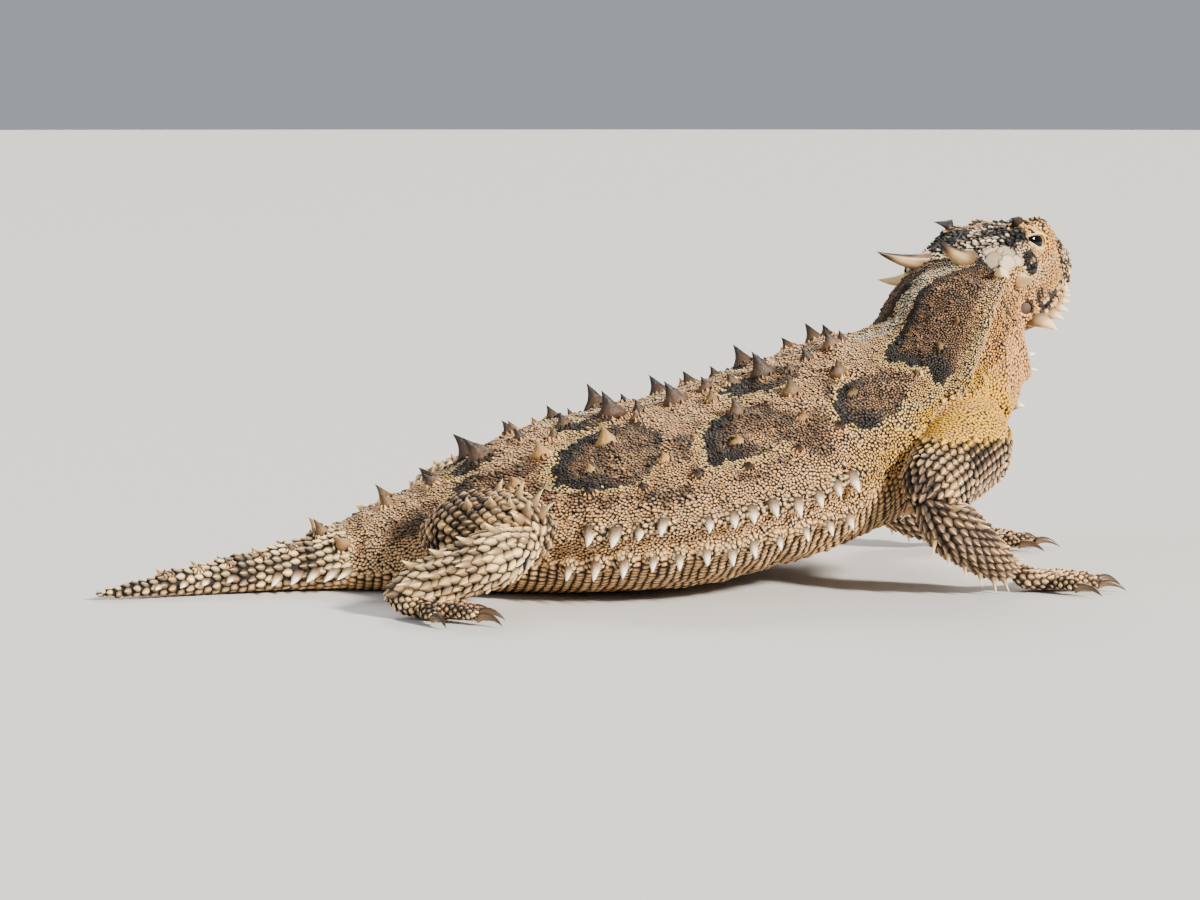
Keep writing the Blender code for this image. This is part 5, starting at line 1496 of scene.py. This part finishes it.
def cone_mesh(cones):
    """Cones given as rings and their colours, as one run of points, polygons and colours, each with a tip
    and a closed foot."""
    points, loops, sizes, paint, start = [], [], [], [], 0
    for circles, colours, tip in cones:
        count, sides = circles.shape[:2]
        form = stack(circles, tip, np.ones(count + 1), np.zeros(count + 1))
        points.append(form["points"])
        loops.append(form["loops"] + start)
        sizes.append(form["sizes"])
        paint.append(np.concatenate([colours.reshape(-1, 3), colours[-1:, 0]]))
        start += len(form["points"])
    return np.concatenate(points), np.concatenate(loops), np.concatenate(sizes), np.concatenate(paint)


def outwards(piece):
    """Turn a closed mesh's faces to point out, by the sign of its volume."""
    mesh = piece.data
    mesh.calc_loop_triangles()
    corners = np.empty(len(mesh.loop_triangles) * 3, np.int32)
    mesh.loop_triangles.foreach_get("vertices", corners)
    points = np.empty(len(mesh.vertices) * 3, np.float32)
    mesh.vertices.foreach_get("co", points)
    a, b, c = (points.reshape(-1, 3)[corners.reshape(-1, 3)[:, k]].astype(float) for k in range(3))
    if (a * np.cross(b, c)).sum() < 0:
        mesh.flip_normals()
    return piece


cones = []
for name, (palm, toes, claws) in feet.items():
    for root, tip in claws:
        circles, t, high = curved_cone(root, tip, CLAW_RADIUS, (0, 0, 0.55), CLAW_RINGS, CLAW_SIDES)
        circles[..., 2] = np.maximum(circles[..., 2], 0.03)
        dark = np.clip(0.25 + 0.35 * high + 0.3 * t, 0, 1)[..., None]
        cones.append((circles, CLAW_TAN * (1 - dark) + CLAW_DARK * dark, tip))
HORN_FINISH = finish_of("horn_keratin", 0.36, 0.15, 0.03, 0.4, 0.25, 0.5)
claw_piece = outwards(painted("claws", *cone_mesh(cones), HORN_FINISH))
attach(claw_piece, "root")

# The head's scales: rough plates on the crown, small granules on cheek and jaw, a row of leaning scales on
# each brow, two rows of lip scales beside the mouth's line, and the jaw's row of pale pointed scutes.
HEAD_SPINES = (
    ((8.8, 5.2, 5.6), (6.8, 6.3, 7.1), 0.85),
    ((6.4, 7.4, 0.9), (5.9, 9.0, 0.8), 0.85),
    ((6.2, 6.7, -5.8), (6.2, 11.1, -7.6), 1.24),
    ((8.9, 6.7, -5.9), (9.6, 9.7, -7.3), 1.0),
    ((11.1, 6.1, -5.8), (12.2, 8.6, -6.9), 0.9),
    ((13.1, 5.3, -5.7), (14.4, 7.5, -6.3), 0.8),
    ((15.0, 4.5, -5.5), (16.2, 6.4, -6.0), 0.7),
    ((16.7, 3.6, -5.4), (17.9, 5.2, -5.8), 0.6),
    ((18.2, 2.4, -5.3), (19.5, 3.9, -5.6), 0.55),
)
HORNS = {
    "horn_occipital": ((0.6, 3.3, 3.4), (-6.5, 5.0, 7.4), 1.3),
    "horn_temporal_rear": ((1.6, 7.0, 1.0), (-1.9, 9.8, 2.5), 1.15),
    "horn_temporal_front": ((3.6, 7.6, -0.1), (2.4, 11.2, -0.2), 1.1),
}
HORN_SKEW, HORN_BOW = 0.5, 0.05
BROW_LINE = ((16.4, 4.0, 3.6), (14.8, 4.3, 4.5), (12.4, 4.3, 5.1), (10.2, 4.3, 5.2), (8.6, 4.6, 5.1),
             (7.4, 4.8, 5.0))
TEMPLE_PLATES = (((2.6, 5.6, 3.8), 1.0), ((3.6, 6.6, 3.2), 0.9), ((1.3, 6.4, 3.0), 0.85),
                 ((2.3, 7.4, 2.2), 0.9), ((3.9, 7.5, 2.0), 0.7))
EYE_BARE, EAR_BARE, NOSTRIL_BARE, PLATE_BARE = 2.15, 1.25, 0.55, 0.95
HEAD_SPACING, LIPS_REACH, BROW_COUNT, LIP_SPACING = 0.37, 0.88, 21, 0.86
BROW_PAIR, BAR_COLOUR = ((0.20, 0.14, 0.10), (0.95, 0.79, 0.55)), (0.15, 0.105, 0.08)
LIP_TAN, LIP_BROWN, TEMPLE_WHITE = (0.84, 0.73, 0.57), (0.26, 0.19, 0.15), np.array((0.83, 0.765, 0.67))
SCUTE_PAIR, SPINE_PAIR = ((0.84, 0.72, 0.55), (0.97, 0.90, 0.77)), ((0.30, 0.22, 0.17), (0.12, 0.09, 0.08))
# The ear's rim: a pale colour as painted light and a dark one as painted shade.
EAR_SKIN, EAR_RIM_LIT_AND_SHADED = (0.43, 0.34, 0.255), ((0.90, 0.80, 0.63), (0.42, 0.32, 0.235))
NOSTRIL_RIM_COLOUR = (0.80, 0.72, 0.60)
draw = np.random.default_rng(17)
coat = Coat()
head_rings = Collars()
bare_places = [(EYE_CENTRE, EYE_BARE), (EAR_CENTRE, EAR_BARE), (NOSTRIL_CENTRE, NOSTRIL_BARE)]
bare_places += [(spot, PLATE_BARE * size) for spot, size in TEMPLE_PLATES]
bare = [(from_head(beside(spot, mirror)), radius) for spot, radius in bare_places for mirror in (1, -1)]
quad_x, quad_y, quad_z = to_head(middle).T
head_spacing = HEAD_SPACING + (0.40 * ramp(quad_z, 3.2, 4.8) + 0.30 * ramp(quad_x, 13.5, 16))
head_spacing[(np.abs(quad_x - 12) < 4) & (np.abs(quad_y) > 2.6) & (quad_z > 1.5)] = HEAD_SPACING
off_lips = (np.abs(quad_z - mouth_level(quad_x)) > LIPS_REACH) | (quad_x < MOUTH_CORNER_X - 0.3)
roots, ups, gap = scatter((quad_part == "head") & off_lips, head_spacing, 23, 4)
roots, ups, gap = picked(clear_of_spots(roots, bare, 1.0), roots, ups, gap)
colours = head_colour(roots, draw)
backs = -HEAD_AXES[0] + 0.25 * draw.normal(size=ups.shape)
plate = ((to_head(roots)[:, 2] > 3.6) | (to_head(roots)[:, 0] > 15)) & (gap > 0.56)
turned = wobbled(ups, np.where(plate, 0.17, 0.14)[:, None], draw)
height = 0.8 + 0.5 * draw.random(len(roots))
coat.lay(leaf, roots[plate], turned[plate], backs[plate], 0.60 * gap[plate], 0.58 * gap[plate],
         0.38 * height[plate], colours[plate])
coat.lay(fine_granule, roots[~plate], turned[~plate], backs[~plate], 0.64 * gap[~plate], 0.56 * gap[~plate],
         0.17 * height[~plate], colours[~plate])


def head_row(line, count):
    """Places along a line of the head's frame, evenly by its run, with the way along it."""
    fine = follow(line, np.linspace(0, len(line) - 1, 200))
    run = np.concatenate([[0], np.cumsum(np.linalg.norm(np.diff(fine, axis=0), axis=1))])
    at = np.linspace(0, run[-1], count)
    spots = np.stack([np.interp(at, run, fine[:, k]) for k in range(3)], axis=1)
    return spots, unit(np.gradient(spots, axis=0))


def round_about(up, guide, count):
    """Ways from a middle, evenly all round it, square to up and starting at the guide."""
    angle = np.linspace(0, 2 * np.pi, count, endpoint=False)
    return np.cos(angle)[:, None] * guide + np.sin(angle)[:, None] * np.cross(up, guide)


for mirror in (1, -1):
    side = np.array([1, mirror, 1])
    spots, way = head_row(BROW_LINE, BROW_COUNT)
    spots, way = from_head(spots * side), (way * side) @ HEAD_AXES
    roots, ups, away = snapped(spots)
    shade = np.where((np.arange(BROW_COUNT) % 2 == 1)[:, None], *BROW_PAIR)
    near = away < 1.0
    coat.lay(leaf, roots[near], unit(ups + 0.5 * mirror * HEAD_AXES[1])[near], way[near], 0.42, 0.36, 0.62,
             shade[near])
    down = unit(0.75 * mirror * HEAD_AXES[1] - 0.65 * HEAD_AXES[2])
    bar_feet, bar_ups, away = snapped(roots[2:18:3] + 0.45 * down)
    coat.lay(pebble, bar_feet, bar_ups, down, 0.80, 0.20, 0.40, BAR_COLOUR)
    for row_height in (0.52, -0.52):
        t = np.linspace(0.0, 1.0, 21)
        x = MOUTH_CORNER_X - 0.4 + (MOUTH_FRONT_X - MOUTH_CORNER_X + 0.35) * t
        y = 9.0 * mirror * np.sqrt(np.clip(1 - t**2.6, 0, 1)) + 0.01
        line = np.stack([x, y, mouth_level(x) + row_height], axis=1)
        roots, ups, away = snapped(from_head(line), 9.0)
        run = np.concatenate([[0], np.cumsum(np.linalg.norm(np.diff(roots, axis=0), axis=1))])
        at = np.arange(0.3, run[-1], LIP_SPACING)
        roots = np.stack([np.interp(at, run, roots[:, k]) for k in range(3)], axis=1)
        roots, ups, away = snapped(roots)
        way = unit(np.gradient(roots, axis=0))
        lip = blend(np.tile(LIP_TAN, (len(roots), 1)), LIP_BROWN, (draw.random(len(roots)) < 0.22) * 1.0)
        lip *= (0.9 + 0.2 * draw.random(len(roots)))[:, None]
        coat.lay(tile, roots, ups, way, 0.47, 0.40, 0.34, lip)
    roots, ups, away = snapped(from_head(np.array([spot for spot, size in TEMPLE_PLATES]) * side))
    wide = np.array([size for spot, size in TEMPLE_PLATES])
    coat.lay(shield, roots, ups, -HEAD_AXES[0], 1.50 * wide, 1.30 * wide, 0.15,
             TEMPLE_WHITE * (0.94 + 0.1 * draw.random((len(roots), 1))))
    for root, tip, radius in HEAD_SPINES:
        root, tip = from_head(np.array(root) * side), from_head(np.array(tip) * side)
        jaw = to_head(root)[2] < -4
        ground, end = SCUTE_PAIR if jaw else SPINE_PAIR
        axis = tip - root
        spot, up, away = snapped((root + 0.35 * axis)[None])
        start = root + axis * 0.15
        wide, tall = (1.15, np.interp(radius, (0.6, 0.75, 1.2), (0.45, 0.6, 0.74))) if jaw else (1.05, 0.87)
        coat.lay(fringe_thorn if jaw else thorn, start[None], unit(axis), -HEAD_AXES[0], radius * wide,
                 radius * wide * 0.9, tall * np.linalg.norm(axis), ground, end)
        head_rings.add(spot[0], unit(axis), radius, 8, draw, 0.46)
    ear_spot = from_head(np.array(EAR_CENTRE) * side)
    up = unit(np.array(EAR_FACES) * side) @ HEAD_AXES
    guide = unit(np.cross(up, HEAD_AXES[2]))
    spread = round_about(up, guide, 17)
    coat.lay(pebble, ear_spot[None], up, guide, EAR_RADIUS, EAR_RADIUS, 0.08, EAR_SKIN)
    # The ear's rim beads: pale on its rear as painted light, dark on its front as painted shade.
    shade = np.where(spread @ HEAD_AXES[:1].T < 0.2, *EAR_RIM_LIT_AND_SHADED)
    coat.lay(pebble, ear_spot + 1.1 * EAR_RADIUS * spread, up, spread, 0.24, 0.22, 0.26, shade)
    hole, ups, away = snapped(from_head(np.array([NOSTRIL_CENTRE]) * side))
    rim = hole[0] + 0.52 * round_about(ups[0], unit(np.cross(ups[0], HEAD_AXES[1])), 9)
    coat.lay(granule, rim, ups[0], rim - hole[0], 0.24, 0.22, 0.28, NOSTRIL_RIM_COLOUR)

# The eyelids: a thick folded dome of skin over each eyeball, with a pale beaded rim round the slit.
LID_RADIUS, LID_OPEN_LENGTH, LID_OPEN_HEIGHT, LID_RINGS = 2.26, 1.32, 0.76, 14
LID_SIDES, LID_SLOPE, LID_EDGE = 48, 30.0, 86.0
SLIT_CREAM, LID_INSIDE = (1.0, 0.93, 0.76), (0.05, 0.03, 0.02)
# The beads' rows on a lid: their share from the slit to the outer edge, their spacing and their size.
BEAD_ROWS = ((0.035, 0.24, 0.12), (0.13, 0.27, 0.14), (0.24, 0.30, 0.16), (0.36, 0.34, 0.18),
             (0.49, 0.38, 0.20), (0.63, 0.42, 0.22), (0.78, 0.46, 0.24))


def lid_frame(mirror):
    """The eye's centre and the lids' outward, forward and upward directions, in the body's frame: the slit
    slopes down towards the snout."""
    slope = math.radians(LID_SLOPE)
    out = unit(np.array([-0.26, mirror, 0.12]))
    ahead = np.array([math.cos(slope), 0.0, -math.sin(slope)])
    ahead = unit(ahead - out * ahead.dot(out))
    up = -mirror * np.cross(out, ahead)
    return from_head(beside(EYE_CENTRE, mirror)), out @ HEAD_AXES, ahead @ HEAD_AXES, up @ HEAD_AXES


def on_ball(frame_of_eye, radius, polar, angle):
    """Points on a ball round the eye's centre, at angles from its outward way and round it."""
    centre, out, ahead, up = frame_of_eye
    return (centre + (radius * np.sin(polar) * np.cos(angle))[..., None] * ahead
            + (radius * np.sin(polar) * np.sin(angle))[..., None] * up
            + (radius * np.cos(polar))[..., None] * out)


slit = np.linspace(0, 2 * np.pi, LID_SIDES, endpoint=False)
slit_along = LID_OPEN_LENGTH * np.cos(slit)
slit_rise = LID_OPEN_HEIGHT * np.sin(slit) * (0.85 + 0.45 * np.cos(slit))
slit_rise *= np.where(np.sin(slit) > 0, 1.15, 0.85)
slit_turn, slit_reach = np.arctan2(slit_rise, slit_along), np.hypot(slit_along, slit_rise)
slit_turn = np.unwrap(slit_turn)
slit_polar = np.arcsin(slit_reach / EYE_RADIUS)


def lid_points_at(frame_of_eye, share, radius):
    """Points round the lids at a share from the slit's edge to the lids' outer edge."""
    share = np.asarray(share, float)
    polar = slit_polar + (math.radians(LID_EDGE) - slit_polar) * share
    angle = slit_turn + (slit - slit_turn) * share
    return on_ball(frame_of_eye, radius + 0 * polar, polar, angle)


lid_points, lid_faces, lid_paint, lid_start = [], [], [], 0
for mirror in (1, -1):
    eye = lid_frame(mirror)
    centre, out, ahead, up = eye
    share = np.concatenate([[-0.02, 0.0, 0.03], np.linspace(0.09, 1, LID_RINGS - 3)])[:, None]
    depth = LID_RADIUS + 0.07 * np.sin(share * 30) * (share > 0.12)
    depth = np.where(share < 0.0, EYE_RADIUS - 0.1, np.where(share < 0.02, EYE_RADIUS + 0.18, depth))
    rings = lid_points_at(eye, share, depth)
    tone = np.where(share < 0.10, 0.9, 0.8) + 0 * slit[None]
    paint = head_colour(rings.reshape(-1, 3), np.random.default_rng(3)) * tone.reshape(-1, 1)
    lid_points.append(np.concatenate([rings.reshape(-1, 3), [centre + out * 0.2, centre - out * 1.0]]))
    lid_faces += grid_faces(LID_RINGS, LID_SIDES, lid_start)
    lid_paint.append(np.concatenate([paint, np.tile(LID_INSIDE, (2, 1))]))
    lid_start += LID_RINGS * LID_SIDES + 2
    for number, (row_share, spacing_round, size) in enumerate(BEAD_ROWS):
        loop = lid_points_at(eye, row_share, LID_RADIUS)
        loop = np.concatenate([loop, loop[:1]])
        run = np.concatenate([[0], np.cumsum(np.linalg.norm(np.diff(loop, axis=0), axis=1))])
        beads = int(run[-1] / spacing_round)
        at_run = (np.arange(beads) + 0.5 * (number % 2)) / beads * run[-1]
        bead = np.stack([np.interp(at_run, run, loop[:, k]) for k in range(3)], axis=1)
        normal = unit(bead - centre)
        outer = head_colour(bead, draw)
        coat.lay(pebble, bead - 0.03 * normal, normal, bead - centre - out * 1.8, size * 1.2,
                 0.54 * run[-1] / beads, 0.09, outer if number else SLIT_CREAM)
head_rings.lay(coat, pebble, head_colour, draw)
coat.make("head_scales", HIDE_SCALE)


def corners_of(faces):
    """The corners of faces in one run, and the number of each one's corners."""
    return np.array([corner for face in faces for corner in face]), np.array([len(face) for face in faces])


lids = painted("eyelids", np.concatenate(lid_points), *corners_of(lid_faces), np.concatenate(lid_paint),
               HIDE_FINISH)
outwards(lids)
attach(lids, "root")

# The horns: two on the crown and two on each temple, hard tan keratin over bone, ribbed along their length;
# the crown's two have dark tips. Each is its own piece and stands in for its solid.
HORN_RINGS, HORN_SIDES = 30, 24
HORN_BASE, HORN_IVORY, HORN_TIP = np.array(((0.56, 0.475, 0.37), (0.80, 0.71, 0.555), (0.20, 0.13, 0.09)))
TEMPLE_BASE, TEMPLE_IVORY = np.array(((0.84, 0.73, 0.56), (0.97, 0.90, 0.74)))
for kind, (root, tip, radius) in HORNS.items():
    for word, mirror in (("left", 1), ("right", -1)):
        end = from_head(beside(np.array(tip) - (0, 0, HORN_SKEW * mirror), mirror))
        start = from_head(beside(root, mirror))
        bow = HORN_BOW * np.linalg.norm(end - start) * np.array([0.0, 0.0, -1.0])
        circles, t, high = curved_cone(start, end, radius, bow, HORN_RINGS, HORN_SIDES, 0.8, 0.035)
        to_tip, to_mid = ramp(t, 0.55, 0.97)[..., None], ramp(t, 0.1, 0.4)[..., None]
        colours = TEMPLE_BASE * (1 - to_mid) + TEMPLE_IVORY * to_mid
        if kind == "horn_occipital":
            colours = HORN_BASE * (1 - to_mid) + HORN_IVORY * to_mid
            dark = np.maximum(to_tip, 0.9 * (ramp(high, 0.35, 0.85) * ramp(t, 0.15, 0.45))[..., None])
            colours = colours * (1 - dark) + HORN_TIP * dark
        piece = outwards(painted(f"{kind}_{word}_keratin", *cone_mesh([(circles, colours, end)]), HORN_FINISH))
        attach(piece, "root")
        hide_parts(f"{kind}_{word}")

# The eyes: wet, nearly black balls with a brown iris, deep in their lids.
EYE_RINGS, EYE_SIDES = 40, 56
IRIS_BROWN, PUPIL_BLACK, EYE_RIM = np.array(((0.07, 0.04, 0.025), (0.008, 0.006, 0.006), (0.03, 0.02, 0.015)))
eye_finish = finish_of("wet_eye", 0.05, 0.02, 0.0, 1.0, 0.1, 0.35)
for word, mirror in (("left", 1), ("right", -1)):
    eye = lid_frame(mirror)
    centre, out = eye[:2]
    polar = np.linspace(0.02, np.pi - 0.02, EYE_RINGS)[:, None]
    angle = np.linspace(0, 2 * np.pi, EYE_SIDES, endpoint=False)[None, :]
    rings = on_ball(eye, EYE_RADIUS + 0 * polar * angle, polar + 0 * angle, angle + 0 * polar)
    bulge = polar * EYE_RADIUS + 0 * angle
    iris = IRIS_BROWN * (0.8 + 0.4 * np.sin(angle * 23)[..., None] ** 2) + 0 * polar[..., None]
    dark = ramp(bulge, 0.62, 0.70)[..., None]
    colours = PUPIL_BLACK * (1 - dark) + iris * dark
    rim = ramp(bulge, 1.05, 1.25)[..., None]
    colours = colours * (1 - rim) + EYE_RIM * rim
    points = np.concatenate([rings.reshape(-1, 3), [centre + EYE_RADIUS * out, centre - EYE_RADIUS * out]])
    paint = np.concatenate([colours.reshape(-1, 3), colours[0, :1], colours[-1, :1]])
    piece = painted(f"eye_{word}_ball", points, *corners_of(grid_faces(EYE_RINGS, EYE_SIDES)), paint,
                    eye_finish)
    outwards(piece)
    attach(piece, "root")
    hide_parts("eye_" + word)

# The hide itself takes the markings of the nearest scales, darkened as painted shade in the gaps between them.
EAR_HOLLOW, NOSTRIL_SHADE = (0.46, 0.33, 0.23), (0.05, 0.03, 0.03)
all_roots, all_colours = np.concatenate(roots_of_all), np.concatenate(colours_of_all)
root_tree = KDTree(len(all_roots))
for number, root in enumerate(all_roots):
    root_tree.insert(root, number)
root_tree.balance()
nearest_root = np.array([root_tree.find(point)[1] for point in hide])
hide_paint = all_colours[nearest_root] * HIDE_PAINTED_SHADE
local = to_head(hide)
for mirror in (1, -1):
    ear = np.linalg.norm(local - beside(EAR_CENTRE, mirror), axis=1)
    hide_paint = blend(hide_paint, EAR_HOLLOW, 1 - ramp(ear, 0.9, 1.3))
    # The nostril's hole is painted near black as painted shade.
    nostril = np.linalg.norm(local - beside(NOSTRIL_CENTRE, mirror), axis=1)
    hide_paint = blend(hide_paint, NOSTRIL_SHADE, 1 - ramp(nostril, 0.35, 0.55))
skin = painted("hide", hide, hide_quads.ravel(), np.full(len(hide_quads), 4), hide_paint, HIDE_FINISH)
outwards(skin)
print("hide triangles", 2 * len(hide_quads))
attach(skin, "root")
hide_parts("tail_tip", "tail_base", "trunk_rear", "trunk_front", "neck", "head",
            *[f"{part}_{word}" for part in ("upper_arm", "forearm", "hand", "thigh", "shank", "foot")
              for word in ("left", "right")])

# Floor and light: a wide pale floor, a distant key lamp from the picture's right, a weak wide lamp from its
# left, and a distant lamp from behind the animal.
FLOOR_REACH = 6.0
floor_mesh = bpy.data.meshes.new("floor")
angle = np.linspace(0, 2 * np.pi, 64, endpoint=False)
disc = np.stack([FLOOR_REACH * np.cos(angle), FLOOR_REACH * np.sin(angle), 0 * angle - 0.00002], axis=1)
floor_mesh.from_pydata(disc.tolist(), [], [list(range(64))])
floor = link("floor", floor_mesh)
floor_finish = bpy.data.materials.new("pale_floor")
floor_finish.use_nodes = True
floor_shader = floor_finish.node_tree.nodes["Principled BSDF"]
floor_shader.inputs["Base Color"].default_value = (0.62, 0.61, 0.59, 1)
floor_shader.inputs["Roughness"].default_value = 0.9
floor_mesh.materials.append(floor_finish)

world = bpy.data.worlds.new("studio")
world.use_nodes = True
world.node_tree.nodes["Background"].inputs["Color"].default_value = (0.80, 0.85, 0.92, 1)
world.node_tree.nodes["Background"].inputs["Strength"].default_value = 0.45
bpy.context.scene.world = world
KEY_FROM, KEY_STRENGTH, KEY_SOFTNESS = (0.80, -1.00, 0.66), 10.5, 0.12
FILL_FROM, FILL_SIZE, FILL_POWER = (-0.9, -0.45, 0.5), 0.6, 4.0
RIM_FROM, RIM_STRENGTH, RIM_SOFTNESS = (0.3, 0.9, 0.9), 2.2, 0.4
for number, (kind, spot, power, tint) in enumerate((("SUN", KEY_FROM, KEY_STRENGTH, (1.0, 0.94, 0.85)),
                                                    ("AREA", FILL_FROM, FILL_POWER, (0.92, 0.96, 1.0)),
                                                    ("SUN", RIM_FROM, RIM_STRENGTH, (1.0, 0.94, 0.85)))):
    lamp = bpy.data.lights.new(f"lamp_{number}", kind)
    lamp.energy, lamp.color = power, tint
    if kind == "SUN":
        lamp.angle = KEY_SOFTNESS if number == 0 else RIM_SOFTNESS
    else:
        lamp.size = FILL_SIZE
    thing = bpy.data.objects.new(f"lamp_{number}", lamp)
    thing.location = spot
    thing.rotation_euler = (Vector((0.0, 0.0, 0.015)) - Vector(spot)).to_track_quat("-Z", "Y").to_euler()
    bpy.context.scene.collection.objects.link(thing)

# The camera stands at the photograph's angle: low on the animal's right side, level with its head.
CAMERA_AT = (-6.86, -380.34, 58.19)
CAMERA_TURN, CAMERA_LENS, HORIZON = 10.0, 96.0, 350 / 3200
camera_data = bpy.data.cameras.new("camera")
camera_data.lens, camera_data.sensor_width = CAMERA_LENS, 36.0
camera_data.clip_start, camera_data.clip_end = 0.01, 50.0
camera = bpy.data.objects.new("camera", camera_data)
camera.location = in_metres(np.array(CAMERA_AT))
camera.rotation_euler = (math.pi / 2 - math.atan(HORIZON), 0.0, -math.radians(CAMERA_TURN))
bpy.context.scene.collection.objects.link(camera)
bpy.context.scene.camera = camera
